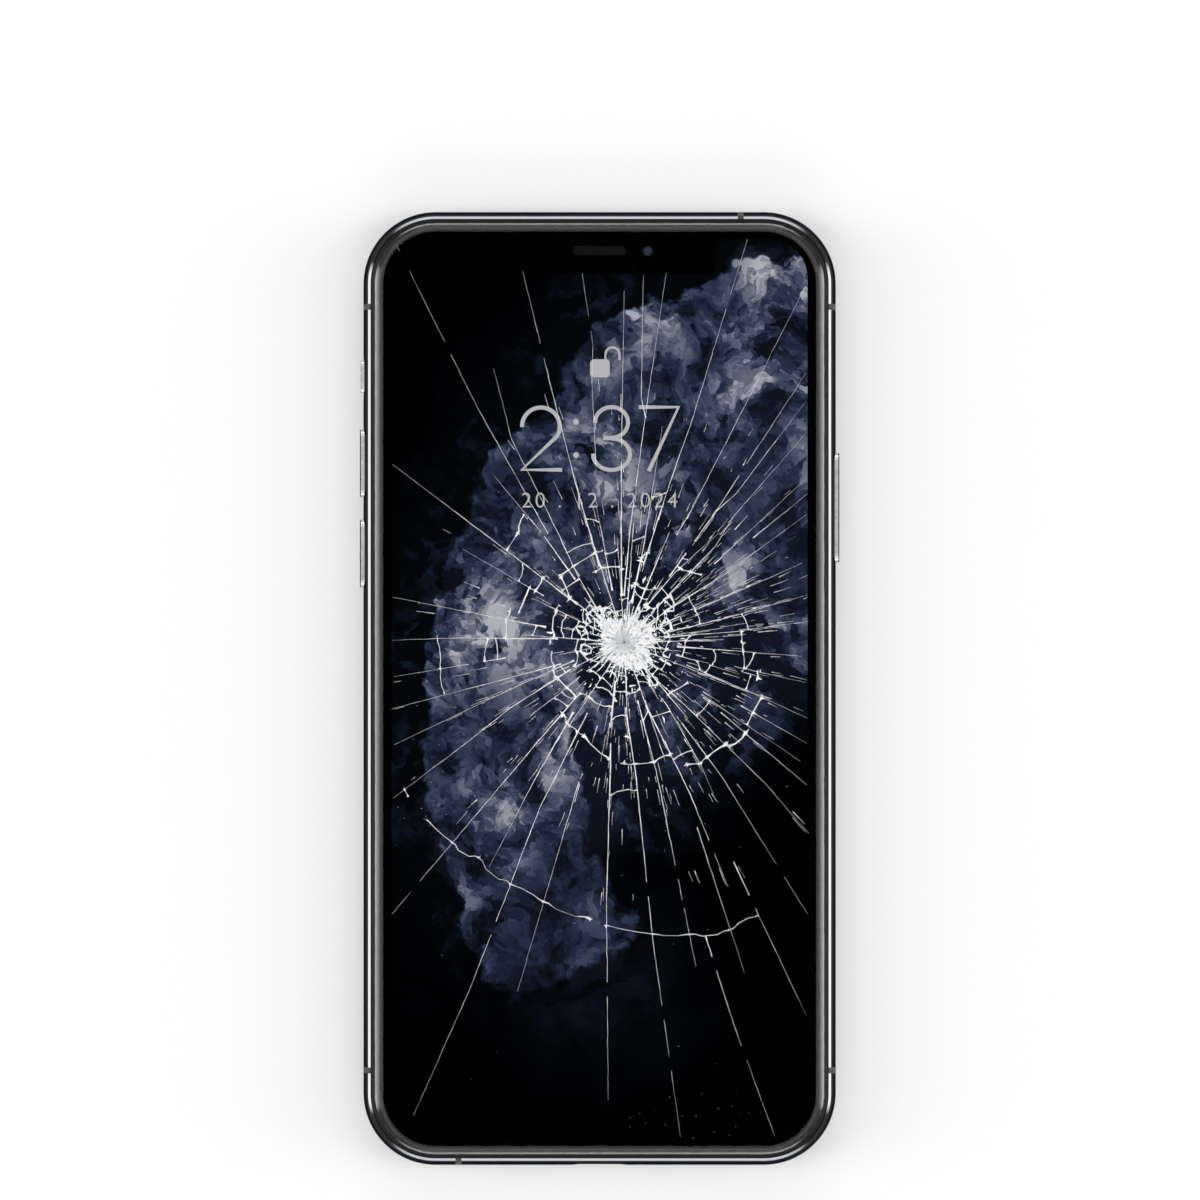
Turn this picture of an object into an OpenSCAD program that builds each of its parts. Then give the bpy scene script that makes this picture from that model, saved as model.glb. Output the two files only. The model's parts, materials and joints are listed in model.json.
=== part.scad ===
// A touch-screen phone with a glass front and a glass back in a polished steel band.
// Its cover glass was struck once, and cracks run out from the blow.
// The phone lies on its back. +X is to the right of the screen, +Y points to the
// earpiece end and +Z out of the screen. The origin is under the middle of the back.

/* [Body] */
// Width across the steel band
body_w = 71.4; // [68:0.1:86]
// Length from the port end to the earpiece end
body_l = 144; // [140:0.1:174]
// Thickness from the back glass to the cover glass
body_t = 8.1; // [7.9:0.1:10]
// Corner radius of the outline
corner_r = 10.9; // [9:0.1:13.2]
// Thickness of the band's wall
band_wall = 2.6; // [2.2:0.05:3.2]
// How far in from the edge the band's lip stands
lip_in = 1; // [0.8:0.05:1.2]
// How much further in the lip ends
lip_more = 0.15; // [0.1:0.05:0.3]
// Width of the flat bevel that ends the band at the lip
lip_bevel_w = 0.37; // [0.25:0.01:0.4]
// Slope of that bevel, in degrees
lip_bevel = 28; // [20:1:35]
// How far the lip stays below the face of the glass
lip_drop = 1.1; // [0.9:0.05:1.4]

/* [Glass and display] */
// Thickness of the cover glass and of the back glass
glass_t = 0.8; // [0.6:0.05:1]
// Width of the curved rim of each glass
glass_curve_w = 1.25; // [0.8:0.05:1.6]
// How far the curved rim falls
glass_curve_fall = 0.34; // [0.2:0.02:0.5]
// Seam between the band's lip and the plastic frame
seam = 0.15; // [0.1:0.05:0.25]
// Width of the plastic frame that shows round the glass
bezel_w = 0.5; // [0.35:0.05:0.8]
// How far the plastic frame reaches in under the glass
bezel_shelf = 1.6; // [1.2:0.1:2]
// Thickness of the clear adhesive under the cover glass
bond_t = 0.05; // [0.03:0.01:0.1]
// Thickness of the display panel
panel_t = 0.8; // [0.6:0.05:1]
// Thickness of the steel plate behind the panel
backing_t = 0.3; // [0.2:0.05:0.4]
// Thickness of the gasket under the display
seal_t = 0.15; // [0.1:0.05:0.2]
// Width of the notch in the panel
notch_w = 34; // [32:0.5:38]
// Depth of the notch in the panel
notch_depth = 5.6; // [5:0.1:7]

/* [Blow and cracks] */
// Blow's place across the glass, from the middle
blow_x = 3.7; // [-12:0.1:12]
// Blow's place along the glass, from the middle
blow_y = 7; // [-20:0.1:20]
// Radius of the crushed patch
crush_r = 4.2; // [3:0.1:5.5]
// Depth of the crushed patch
crush_depth = 0.08; // [0.04:0.01:0.15]
// Radius of the pit at its middle
pit_r = 0.7; // [0.4:0.05:1]
// Depth of the pit
pit_depth = 0.35; // [0.2:0.05:0.5]
// Width of a crack
crack_w = 0.08; // [0.05:0.01:0.15]
// Depth of a crack
crack_depth = 0.15; // [0.1:0.05:0.3]

/* [Earpiece and front camera] */
// Length of the earpiece slot
ear_l = 8.05; // [7:0.05:10]
// Width of the earpiece slot
ear_w = 1.4; // [1.2:0.05:1.8]
// Distance of the slot and the front camera from the top edge
ear_from_top = 6; // [5.8:0.1:6.6]
// Front camera's place across the phone, from the middle
front_cam_x = 7.3; // [7.2:0.1:9]
// Radius of the front camera's lens
front_lens_r = 1; // [0.7:0.05:1.2]

/* [Side controls] */
// How far the buttons stand proud of the band
button_proud = 0.5; // [0.3:0.05:0.7]
// Travel of a button
button_travel = 0.25; // [0.15:0.05:0.3]
// Length of the power button
power_l = 17; // [14:0.1:20]
// Middle of the power button from the top edge
power_from_top = 44.7; // [42:0.1:46]
// Length of each volume button
volume_l = 10.7; // [9:0.1:11.4]
// Middle of the volume-up button from the top edge
volume_up_from_top = 38; // [37.5:0.1:39]
// Middle of the volume-down button from the top edge
volume_down_from_top = 51.6; // [51:0.1:56]
// Length of the mute switch
mute_l = 5.1; // [4.5:0.1:6]
// Height of the mute switch's tab
mute_h = 1.5; // [1.2:0.05:1.6]
// How far the mute switch stands proud of the band
mute_proud = 0.38; // [0.2:0.02:0.45]
// Travel of the mute switch, towards the back
mute_travel = 0.9; // [0.7:0.05:1]
// Middle of the mute switch from the top edge
mute_from_top = 24.9; // [24:0.1:26]

/* [SIM tray] */
// Length of the tray's face along the band
tray_l = 15.2; // [14.6:0.1:16]
// Height of the tray's face
tray_h = 2.2; // [1.8:0.1:2.4]
// Thickness of the tray's blade
blade_t = 0.8; // [0.7:0.05:0.9]
// How far the tray reaches in from the side
tray_reach = 18.6; // [17:0.1:20]
// Middle of the tray from the top edge
tray_from_top = 70; // [68:0.5:74]

/* [Port end] */
// Width of the charging port
port_w = 8.4; // [7.6:0.1:9]
// Height of the charging port
port_h = 2.6; // [2.4:0.1:3]
// Depth of the charging port
port_depth = 7.2; // [6.5:0.1:8]
// Wall of the port's shell
port_wall = 0.35; // [0.25:0.05:0.45]
// Number of grille holes on each side of the port
grille_count = 6; // [4:1:6]
// Radius of a grille hole
grille_r = 0.65; // [0.4:0.05:0.7]

/* [Antenna breaks] */
// Width of a plastic break in the band
break_w = 0.9; // [0.7:0.05:1.2]
// Distance of each break from the end of its side
break_inset = 14.4; // [14:0.1:15.5]

/* [Rear camera] */
// Side of the square camera window
window_side = 18; // [17:0.1:19]
// Corner radius of the camera window
window_r = 5; // [4:0.1:6]
// Window's middle from the side of the phone
window_from_side = 15.7; // [15:0.1:18]
// Window's middle from the top edge
window_from_top = 18; // [17.6:0.1:20]
// Radius of each rear lens barrel
barrel_r = 3.4; // [3:0.05:3.5]

/* [Inside] */
// Room behind the back glass for the charging coil
coil_room = 0.75; // [0.7:0.05:1]
// Thickness of the chassis plate
plate_t = 0.5; // [0.4:0.05:0.6]
// Width of the main board
board_w = 15; // [14.6:0.1:16]
// Length of the main board
board_l = 71.5; // [70:0.5:72]
// Thickness of the main board
board_t = 0.8; // [0.6:0.05:0.9]
// Height of the posts that carry the main board
post_h = 0.5; // [0.3:0.05:0.6]
// Height of a shield can
can_h = 1.9; // [1.2:0.05:2]
// Sheet thickness of the shield cans and the card reader
sheet_t = 0.2; // [0.15:0.05:0.25]

/* [Clearances] */
// Gap round each button and the card tray in its slot
slot_gap = 0.1; // [0.06:0.01:0.15]
// Gap between a glass and the plastic frame round it
glass_gap = 0.05; // [0.03:0.01:0.1]
// Gap between the inner modules and the band
module_gap = 0.6; // [0.4:0.1:1]
// Room left under the display over the inner modules
top_gap = 0.4; // [0.3:0.05:0.6]

/* [Hidden] */
$fn = 64;
eps = 0.01;

// Heights, from the back glass up.
mid_z = body_t / 2;
plate_z0 = glass_t + coil_room;
plate_z1 = plate_z0 + plate_t;
glass_under = body_t - glass_t;
panel_z1 = glass_under - bond_t;
panel_z0 = panel_z1 - panel_t;
backing_z0 = panel_z0 - backing_t;
ledge_z = backing_z0 - seal_t;
inner_h = ledge_z - plate_z1;
module_top = backing_z0 - top_gap;
board_z0 = plate_z1 + post_h;
board_z1 = board_z0 + board_t;

// Distances in from the outer edge.
lip_d = lip_in + lip_more;
bezel_d = lip_d + seam;
glass_d = bezel_d + bezel_w + glass_gap;
flat_d = glass_d + glass_curve_w;
shelf_d = bezel_d + bezel_w + bezel_shelf;
panel_d = shelf_d + 0.3;

// The band's outer face is one arc across its height.
lip_half = mid_z - lip_drop;
band_arc_r = (lip_in * lip_in + lip_half * lip_half) / (2 * lip_in);
// Where the bevel of the lip starts, and its height above the middle of the band at d.
bevel_d = lip_d - lip_bevel_w;
bevel_h = sqrt(band_arc_r * band_arc_r - (band_arc_r - bevel_d) * (band_arc_r - bevel_d));
function bevel_line(d) = bevel_h + (d - bevel_d) * tan(lip_bevel);
// The glass edge is an arc that runs level into the flat.
glass_arc_r = (glass_curve_w * glass_curve_w + glass_curve_fall * glass_curve_fall)
    / (2 * glass_curve_fall);

// Inner room of the band.
inner_x = body_w / 2 - band_wall;
inner_y = body_l / 2 - band_wall;
break_x = body_w / 2 - break_inset;
break_y = body_l / 2 - break_inset;

// Side controls, from the middle of the phone.
power_y = body_l / 2 - power_from_top;
volume_up_y = body_l / 2 - volume_up_from_top;
volume_down_y = body_l / 2 - volume_down_from_top;
mute_y = body_l / 2 - mute_from_top;
tray_y = body_l / 2 - tray_from_top;
flange_h = inner_h - 0.5;
flange_t = 0.5;
flange_rim = 0.45;
flange_gap = 0.08;
button_h = flange_h - 2 * flange_rim;
button_chamfer = 0.35;
nub_l = 0.2;
nub_r = 0.6;
flange_x1 = inner_x - flange_gap;
flange_x0 = flange_x1 - flange_t;
dome_t = 0.2;
dome_r = 1.5;
dome_x1 = flange_x0 - nub_l - button_travel - 0.07;
strip_t = 0.15;
strip_x1 = dome_x1 - dome_t;
bracket_t = 0.4;
bracket_x1 = strip_x1 - strip_t;
switch_gap = 0.12;

// Card tray and reader.
blade_w = tray_l - 1.4;
blade_x0 = body_w / 2 - tray_reach;
card_l = 12.3;
card_w = 8.8;
card_t = 0.67;
card_gap = 0.1;
card_sill = 0.4;
card_seat = 0.2;
card_x = blade_x0 + 1 + card_w / 2;
reader_gap = 0.3;
reader_x0 = blade_x0 - 0.8;
reader_z1 = mid_z + blade_t / 2 + 0.45;
pin_hole_r = 0.45;
pin_hole_from_end = 1.5;

// Boards and battery.
side_room = 3.6;
board_x1 = inner_x - side_room;
board_x0 = board_x1 - board_w;
window_x = body_w / 2 - window_from_side;
window_y = body_l / 2 - window_from_top;
window_half = window_side / 2;
board_y1 = window_y - window_half - 1.5;
board_y0 = board_y1 - board_l;
battery_gap = 1.2;
battery_x0 = -inner_x + 4;
battery_x1 = board_x0 - battery_gap;
port_room = 23.5;
battery_y0 = -inner_y + port_room;
screw_inset = 1.6;
post_r = 1.2;
screw_r = 0.6;
screw_gap = 0.05;
screw_head_r = 1.1;
screw_head_h = 0.35;
board_screw_spots = [
    for (x = [board_x0 + screw_inset, board_x1 - screw_inset])
        for (y = [board_y0 + screw_inset, board_y1 - screw_inset]) [x, y]
];
can_inset = 0.6;
upper_can = [board_x0 + can_inset, tray_y + 11.5, board_x1 - can_inset, board_y1 - 3.5];
lower_can = [board_x0 + can_inset, board_y0 + 4, board_x1 - can_inset, tray_y - 10.5];
radio_board_span = [battery_x0, window_y - window_half + 0.2, window_x - window_half - 1.5,
    window_y + window_half - 1.2];
radio_can_z0 = plate_z1 + board_t;

// Port end.
port_y0 = -body_l / 2 + 0.35;
port_y1 = port_y0 + port_depth;
port_back = 1;
tongue_w = port_w - 2.6;
tongue_t = 0.7;
tongue_l = port_depth - port_back - 1;
port_board_x = 7.5;
module_x0 = 8.5;
module_y0 = -inner_y + 1.2;
module_y1 = module_y0 + 19;
end_screw_x = 6.3;
end_screw_head_r = 0.8;
end_screw_l = 3.7;
end_screw_head_l = 0.8;
grille_first = 9.6;
grille_pitch = (break_x - break_w / 2 - grille_r - 0.4 - grille_first) / (grille_count - 1);
mesh_t = 0.2;

// Earpiece and sensors.
ear_y = body_l / 2 - ear_from_top;
notch_y0 = body_l / 2 - panel_d - notch_depth;
sensor_z0 = panel_z1 - 2.65;
sensor_l = 4;
sensor_plate_t = 0.3;
sensor_plate_x = notch_w / 2 - 0.6;
sensor_plate_y0 = ear_y - 2.8;

// Rear camera.
lens_offset = 4.1;
rear_lens_spots = [for (s = [1, -1]) [window_x + lens_offset, window_y + s * lens_offset]];
camera_half = lens_offset - 0.15;
trim_w = 0.65;
trim_gap = 0.1;
pane_inset = 0.1;
pane_sill = 0.5;
aperture_r = 1.9;
rear_lens_r = 1.85;
rear_lens_t = 0.45;
flash_r = 2.1;
mic_hole_r = 0.5;
mic_r = 1.2;

// Charging coil.
coil_y = -2;
coil_r0 = 11;
coil_r1 = 23;
coil_turns = 10;
coil_t = 0.35;
coil_groove = 0.25;
ferrite_r = 24.5;

// Cracks, each a run of [reach from the blow, bearing from +X].
CRACKS = [
    [[6, 6], [17, 5], [27, 6]],
    [[6, 25], [18, 24], [30, 24]],
    [[6, 48], [22, 47], [25, 49], [41, 49]],
    [[14, 55], [30, 55], [49, 56]],
    [[15, 76], [35, 73], [62, 73]],
    [[11, 90], [20, 86], [34, 84], [55, 84]],
    [[12, 125], [20, 121], [35, 119], [45, 116]],
    [[20, 125], [42, 122], [66, 120]],
    [[11, 141], [30, 142], [43, 142]],
    [[13, 169], [34, 169]],
    [[13, 199], [20, 197], [35, 196]],
    [[10, 201], [22, 203], [37, 204]],
    [[12, 229], [55, 230]],
    [[15, 242], [42, 245], [66, 246], [76, 246]],
    [[8, 259], [20, 264], [40, 266], [68, 268]],
    [[14, 272], [20, 275], [45, 276], [74, 277]],
    [[12, 284], [30, 282], [49, 282]],
    [[16, 305], [30, 306], [49, 304]],
    [[22, 324], [34, 322]],
    [[10, 355], [27, 355]]
];
// Rings, each [radius about the blow, first bearing, last bearing].
RINGS = [[11, 187, 228], [14, 104, 133], [28, 179, 195], [18.5, 248, 296], [22, 300, 337], [40, 212, 251]];

ONE_OF_EACH = [
    "cover_glass", "display_panel", "display_backing", "display_bezel", "display_seal",
    "display_flex", "earpiece_mesh", "earpiece_speaker", "front_camera", "front_lens",
    "sensor_modules", "sensor_plate",
    "chassis_plate", "back_glass", "back_bezel", "charging_coil", "coil_ferrite",
    "camera_trim", "camera_pane", "flash_led", "rear_microphone",
    "battery", "battery_connector", "main_board", "board_screws", "shield_cans",
    "radio_board", "sim_reader", "sim_tray", "sim_card",
    "button_bracket_left", "button_strip_left", "button_bracket_right", "button_strip_right",
    "mute_module", "mute_switch", "volume_up_button", "volume_down_button", "power_button",
    "port_shell", "port_tongue", "port_board", "port_microphone", "loudspeaker",
    "vibration_motor", "grille_mesh", "end_screws", "antenna_breaks"
];
BAND_PIECES = ["left", "right", "top_left", "top_right", "bottom_left", "bottom_right"];

// Flat shapes.

module rounded(w, l, r) {
    square([w - 2 * r, l], center = true);
    square([w, l - 2 * r], center = true);
    for (x = [-1, 1], y = [-1, 1])
        translate([x * (w / 2 - r), y * (l / 2 - r)])
            circle(r);
}

// The phone's outline, a distance in from its edge.
module outline(d) {
    rounded(body_w - 2 * d, body_l - 2 * d, corner_r - d);
}

module stadium(l, h) {
    square([l - h, h], center = true);
    for (x = [-1, 1])
        translate([x * (l - h) / 2, 0])
            circle(h / 2);
}

module span(box) {
    translate([box[0], box[1]])
        square([box[2] - box[0], box[3] - box[1]]);
}

// Solids placed by height or by side.

module slab(z0, z1) {
    translate([0, 0, z0])
        linear_extrude(z1 - z0)
            children();
}

// Runs a flat shape along X: its own x becomes Y and its own y becomes Z.
module along_x(x0, x1, y, z) {
    translate([x0, y, z])
        rotate([90, 0, 90])
            linear_extrude(x1 - x0)
                children();
}

// Runs a flat shape along Y: its own x stays X and its own y becomes Z.
module along_y(x, y0, y1, z) {
    translate([x, y1, z])
        rotate([90, 0, 0])
            linear_extrude(y1 - y0)
                children();
}

module left_side() {
    mirror([1, 0, 0])
        children();
}

// Edge runs. The profile's x is the distance in from the edge, and its y is the height.

module edge_run(edge, from, to) {
    along_y(edge, from, to, 0)
        mirror([1, 0])
            children();
}

module right_run(y0, y1) {
    edge_run(body_w / 2, y0, y1)
        children();
}

module top_run(x0, x1) {
    rotate([0, 0, 90])
        edge_run(body_l / 2, -x1, -x0)
            children();
}

module corner_run() {
    translate([body_w / 2 - corner_r, body_l / 2 - corner_r, 0])
        rotate_extrude(angle = 90)
            translate([corner_r, 0])
                mirror([1, 0])
                    children();
}

module edge_ring() {
    side = body_l / 2 - corner_r;
    end = body_w / 2 - corner_r;
    for (flip = [0, 1]) {
        mirror([flip, 0, 0])
            right_run(-side, side)
                children();
        mirror([0, flip, 0])
            top_run(-end, end)
                children();
        for (turn = [0, 1])
            mirror([flip, 0, 0])
                mirror([0, turn, 0])
                    corner_run()
                        children();
    }
}

// The steel band and its plastic breaks.

module band_profile() {
    difference() {
        intersection() {
            translate([band_arc_r, mid_z])
                circle(band_arc_r);
            polygon([
                [-0.1, mid_z - bevel_line(-0.1)], [band_wall, mid_z - bevel_line(band_wall)],
                [band_wall, mid_z + bevel_line(band_wall)], [-0.1, mid_z + bevel_line(-0.1)]
            ]);
        }
        translate([lip_d, ledge_z])
            square([band_wall, body_t]);
        translate([lip_d, plate_z1 - body_t])
            square([band_wall, body_t]);
    }
}

module side_slot(y, l, h) {
    along_x(inner_x - 1, body_w / 2 + 1, y, mid_z)
        stadium(l + 2 * slot_gap, h + 2 * slot_gap);
}

module band_left() {
    color("dimgray")
        difference() {
            left_side()
                right_run(-break_y + break_w / 2, break_y - break_w / 2)
                    band_profile();
            left_side() {
                side_slot(volume_up_y, volume_l, button_h);
                side_slot(volume_down_y, volume_l, button_h);
                side_slot(mute_y, mute_l + 0.8 - 2 * slot_gap, mute_h + mute_travel);
            }
        }
}

module band_right() {
    color("dimgray")
        difference() {
            right_run(-break_y + break_w / 2, break_y - break_w / 2)
                band_profile();
            side_slot(power_y, power_l, button_h);
            side_slot(tray_y, tray_l, tray_h);
        }
}

// A corner of the band with the short end of its side and its stretch of the end wall.
module band_corner(end_from) {
    right_run(break_y + break_w / 2, body_l / 2 - corner_r)
        band_profile();
    corner_run()
        band_profile();
    top_run(end_from, body_w / 2 - corner_r)
        band_profile();
}

module band_top_left() {
    color("dimgray")
        left_side()
            band_corner(-break_x + break_w / 2);
}

module band_top_right() {
    color("dimgray")
        band_corner(break_x + break_w / 2);
}

module band_bottom_left() {
    color("dimgray")
        mirror([0, 1, 0])
            left_side()
                band_corner(break_x + break_w / 2);
}

module band_bottom_right() {
    wall_y0 = -body_l / 2 - 1;
    wall_y1 = -inner_y + 1;
    color("dimgray")
        difference() {
            mirror([0, 1, 0])
                band_corner(-break_x + break_w / 2);
            along_y(0, wall_y0, wall_y1, mid_z)
                stadium(port_w + 2 * slot_gap, port_h + 2 * slot_gap);
            for (side = [-1, 1]) {
                along_y(side * end_screw_x, wall_y0, wall_y1, mid_z)
                    circle(screw_r + screw_gap);
                along_y(side * end_screw_x, wall_y0, -body_l / 2 + end_screw_head_l + 0.2, mid_z)
                    circle(end_screw_head_r + screw_gap);
                for (i = [0:grille_count - 1])
                    along_y(side * (grille_first + i * grille_pitch), wall_y0, wall_y1, mid_z)
                        circle(grille_r);
            }
        }
}

module antenna_breaks() {
    color("darkslategray") {
        for (flip = [0, 1], y = [-break_y, break_y])
            mirror([flip, 0, 0])
                right_run(y - break_w / 2, y + break_w / 2)
                    band_profile();
        top_run(break_x - break_w / 2, break_x + break_w / 2)
            band_profile();
        mirror([0, 1, 0])
            top_run(-break_x - break_w / 2, -break_x + break_w / 2)
                band_profile();
    }
}

// The glass and the display.

module glass_edge_profile() {
    intersection() {
        translate([flat_d, body_t - glass_arc_r])
            circle(glass_arc_r);
        translate([glass_d, glass_under])
            square([flat_d - glass_d, glass_t]);
    }
}

module glass_plate() {
    edge_ring()
        glass_edge_profile();
    slab(glass_under, body_t)
        outline(flat_d);
}

function polar(reach, bearing) = [reach * cos(bearing), reach * sin(bearing)];

function crack_path(crack) = [for (point = crack) polar(point[0], point[1])];

// One side of a crack: each point of its path, moved square to the way it runs there.
function crack_side(path, side) = [
    for (i = [0:len(path) - 1])
        let (
            run = path[min(i + 1, len(path) - 1)] - path[max(i - 1, 0)],
            way = run / norm(run)
        )
        path[i] + side * crack_w / 2 * [-way[1], way[0]]
];

function backwards(points) = [for (i = [len(points) - 1:-1:0]) points[i]];

module crack_groove(crack) {
    path = crack_path(crack);
    translate([0, 0, -crack_depth])
        linear_extrude(crack_depth + 1)
            polygon(concat(crack_side(path, -1), backwards(crack_side(path, 1))));
}

module crack_ring(ring) {
    rotate([0, 0, ring[1]])
        rotate_extrude(angle = ring[2] - ring[1])
            translate([ring[0] - crack_w / 2, -crack_depth])
                square([crack_w, crack_depth + 1]);
}

module cracks() {
    for (crack = CRACKS)
        crack_groove(crack);
    for (ring = RINGS)
        crack_ring(ring);
    translate([0, 0, -crush_depth])
        cylinder(r = crush_r, h = crush_depth + 1);
    translate([0, 0, -pit_depth])
        cylinder(r1 = pit_r / 2, r2 = pit_r, h = pit_depth);
}

module cover_glass() {
    color([0.05, 0.06, 0.09, 0.6])
        difference() {
            glass_plate();
            translate([0, ear_y, 0])
                slab(glass_under - 1, body_t + 1)
                    stadium(ear_l, ear_w);
            translate([blow_x, blow_y, body_t])
                cracks();
        }
}

module notched(d) {
    difference() {
        outline(d);
        translate([0, notch_y0 + body_l / 2])
            square([notch_w, body_l], center = true);
    }
}

module display_panel() {
    color("midnightblue")
        slab(panel_z0, panel_z1)
            notched(panel_d);
}

module display_backing() {
    color("silver")
        slab(backing_z0, panel_z0)
            notched(panel_d);
}

module bezel_profile() {
    rim_top = body_t - glass_curve_fall - glass_gap;
    polygon([
        [bezel_d, backing_z0], [shelf_d, backing_z0], [shelf_d, panel_z1],
        [bezel_d + bezel_w, panel_z1], [bezel_d + bezel_w, rim_top], [bezel_d, glass_under]
    ]);
}

module display_bezel() {
    color([0.2, 0.2, 0.21])
        edge_ring()
            bezel_profile();
}

module display_seal() {
    color("black")
        slab(ledge_z, backing_z0)
            difference() {
                outline(bezel_d);
                outline(band_wall - 0.1);
            }
}

// The display's cable: a connector on the board, then a thin strip up to the backing.
module display_flex() {
    connector_h = 1;
    film = 0.15;
    top = board_z1 + connector_h;
    from = board_y0 + 3.2;
    fold = board_y0 - 3;
    color("darkorange") {
        slab(board_z1, top)
            span([board_x0 + 3, board_y0 + 0.6, board_x1 - 3, from]);
        along_x(board_x0 + 4, board_x1 - 4, 0, 0)
            polygon([
                [from, top], [fold, top], [fold, backing_z0], [fold + 13, backing_z0],
                [fold + 13, backing_z0 - film], [fold + film, backing_z0 - film],
                [fold + film, top + film], [from, top + film]
            ]);
    }
}

// Earpiece, front camera and sensors in the notch.

module earpiece_mesh() {
    color("gray")
        translate([0, ear_y, 0])
            slab(glass_under + 0.15, glass_under + 0.45)
                stadium(ear_l - 2 * glass_gap, ear_w - 2 * glass_gap);
}

module earpiece_speaker() {
    cover = 0.3;
    box = [-ear_l / 2 - 2.4, ear_y - 2, ear_l / 2 + 0.9, ear_y + 2];
    color([0.15, 0.15, 0.16])
        difference() {
            slab(sensor_z0, panel_z1)
                span(box);
            translate([0, ear_y, 0])
                slab(panel_z1 - cover, panel_z1 + 1)
                    stadium(ear_l, ear_w);
        }
}

module front_camera() {
    neck = 1;
    lens_room = 0.5;
    color([0.1, 0.1, 0.1])
        translate([front_cam_x, ear_y, 0])
            difference() {
                union() {
                    slab(sensor_z0, panel_z1 - neck)
                        square([4, 4], center = true);
                    slab(panel_z1 - neck, panel_z1)
                        circle(front_lens_r + 0.5);
                }
                slab(panel_z1 - lens_room, panel_z1 + 1)
                    circle(front_lens_r + 0.02);
            }
}

module front_lens() {
    lens_room = 0.5;
    color([0.1, 0.15, 0.3])
        translate([front_cam_x, ear_y, 0])
            slab(panel_z1 - lens_room, panel_z1 - 0.1)
                circle(front_lens_r);
}

// The infrared camera to the left of the earpiece and the dot projector at the right.
module sensor_modules() {
    color([0.12, 0.1, 0.14])
        for (x = [-sensor_plate_x + 1 + sensor_l / 2, sensor_plate_x - 1 - sensor_l / 2])
            translate([x, ear_y, 0]) {
                slab(sensor_z0, panel_z1 - 0.6)
                    square(sensor_l, center = true);
                slab(panel_z1 - 0.6, panel_z1)
                    circle(1.4);
            }
}

module sensor_plate() {
    color("silver")
        slab(sensor_z0 - sensor_plate_t, sensor_z0)
            span([-sensor_plate_x, sensor_plate_y0, sensor_plate_x, inner_y]);
}

// The back of the phone.

module back_side() {
    translate([0, 0, body_t])
        mirror([0, 0, 1])
            children();
}

module window_shape(grow) {
    translate([window_x, window_y])
        rounded(window_side + 2 * grow, window_side + 2 * grow, window_r + grow);
}

module back_glass() {
    color([0.3, 0.31, 0.32])
        difference() {
            back_side()
                glass_plate();
            slab(-1, glass_t + 1)
                window_shape(trim_gap);
        }
}

module back_bezel_profile() {
    rim_top = body_t - glass_curve_fall - glass_gap;
    shelf_z = body_t - plate_z0;
    polygon([
        [bezel_d, shelf_z], [shelf_d, shelf_z], [shelf_d, glass_under],
        [bezel_d + bezel_w, glass_under], [bezel_d + bezel_w, rim_top], [bezel_d, glass_under]
    ]);
}

module back_bezel() {
    color([0.2, 0.2, 0.21])
        back_side()
            edge_ring()
                back_bezel_profile();
}

module chassis_plate() {
    color("slategray")
        difference() {
            union() {
                slab(plate_z0, plate_z1)
                    outline(bezel_d);
                for (spot = board_screw_spots)
                    translate([spot[0], spot[1], plate_z1 - eps])
                        cylinder(r = post_r, h = post_h + eps);
            }
            for (spot = board_screw_spots)
                translate([spot[0], spot[1], plate_z1])
                    cylinder(r = screw_r + screw_gap, h = post_h + 1);
            for (spot = rear_lens_spots)
                translate([spot[0], spot[1], plate_z0 - 1])
                    cylinder(r = barrel_r + 0.1, h = plate_t + 2);
        }
}

// A flat wound coil: a ring with a groove between one turn and the next.
module charging_coil() {
    pitch = (coil_r1 - coil_r0) / coil_turns;
    color("peru")
        translate([0, coil_y, plate_z0 - 2 * coil_t])
            difference() {
                cylinder(r = coil_r1, h = coil_t);
                translate([0, 0, -1])
                    cylinder(r = coil_r0, h = coil_t + 2);
                for (i = [1:coil_turns - 1])
                    translate([0, 0, -1])
                        difference() {
                            cylinder(r = coil_r0 + i * pitch + coil_groove / 2, h = 1 + coil_t / 2);
                            cylinder(r = coil_r0 + i * pitch - coil_groove / 2, h = 1 + coil_t / 2);
                        }
            }
}

module coil_ferrite() {
    color([0.22, 0.22, 0.22])
        translate([0, coil_y, plate_z0 - coil_t])
            cylinder(r = ferrite_r, h = coil_t);
}

// A steel frame that holds the camera pane flush with the back glass.
module camera_trim() {
    pane_z1 = glass_t - 0.1;
    color("gray")
        difference() {
            slab(0, plate_z0)
                window_shape(0);
            slab(-1, pane_z1)
                window_shape(-trim_w);
            slab(-1, plate_z0 + 1)
                window_shape(-trim_w - pane_sill);
        }
}

module camera_pane() {
    pane_z1 = glass_t - 0.1;
    color([0.08, 0.08, 0.09])
        difference() {
            slab(0, pane_z1)
                window_shape(-trim_w - pane_inset);
            translate([window_x - lens_offset, window_y - lens_offset, -1])
                cylinder(r = mic_hole_r, h = glass_t + 2);
        }
}

module rear_camera(i) {
    spot = rear_lens_spots[i - 1];
    barrel_z0 = glass_t + 0.1;
    color([0.12, 0.12, 0.13])
        translate([spot[0], spot[1], 0])
            difference() {
                union() {
                    slab(barrel_z0, plate_z1 + eps)
                        circle(barrel_r);
                    slab(plate_z1, module_top)
                        square(2 * camera_half, center = true);
                }
                translate([0, 0, barrel_z0 - 1])
                    cylinder(r = aperture_r, h = 1 + rear_lens_t + 0.25);
            }
}

module rear_lens(i) {
    spot = rear_lens_spots[i - 1];
    color([0.1, 0.12, 0.3])
        translate([spot[0], spot[1], glass_t + 0.35])
            cylinder(r = rear_lens_r, h = rear_lens_t);
}

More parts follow.
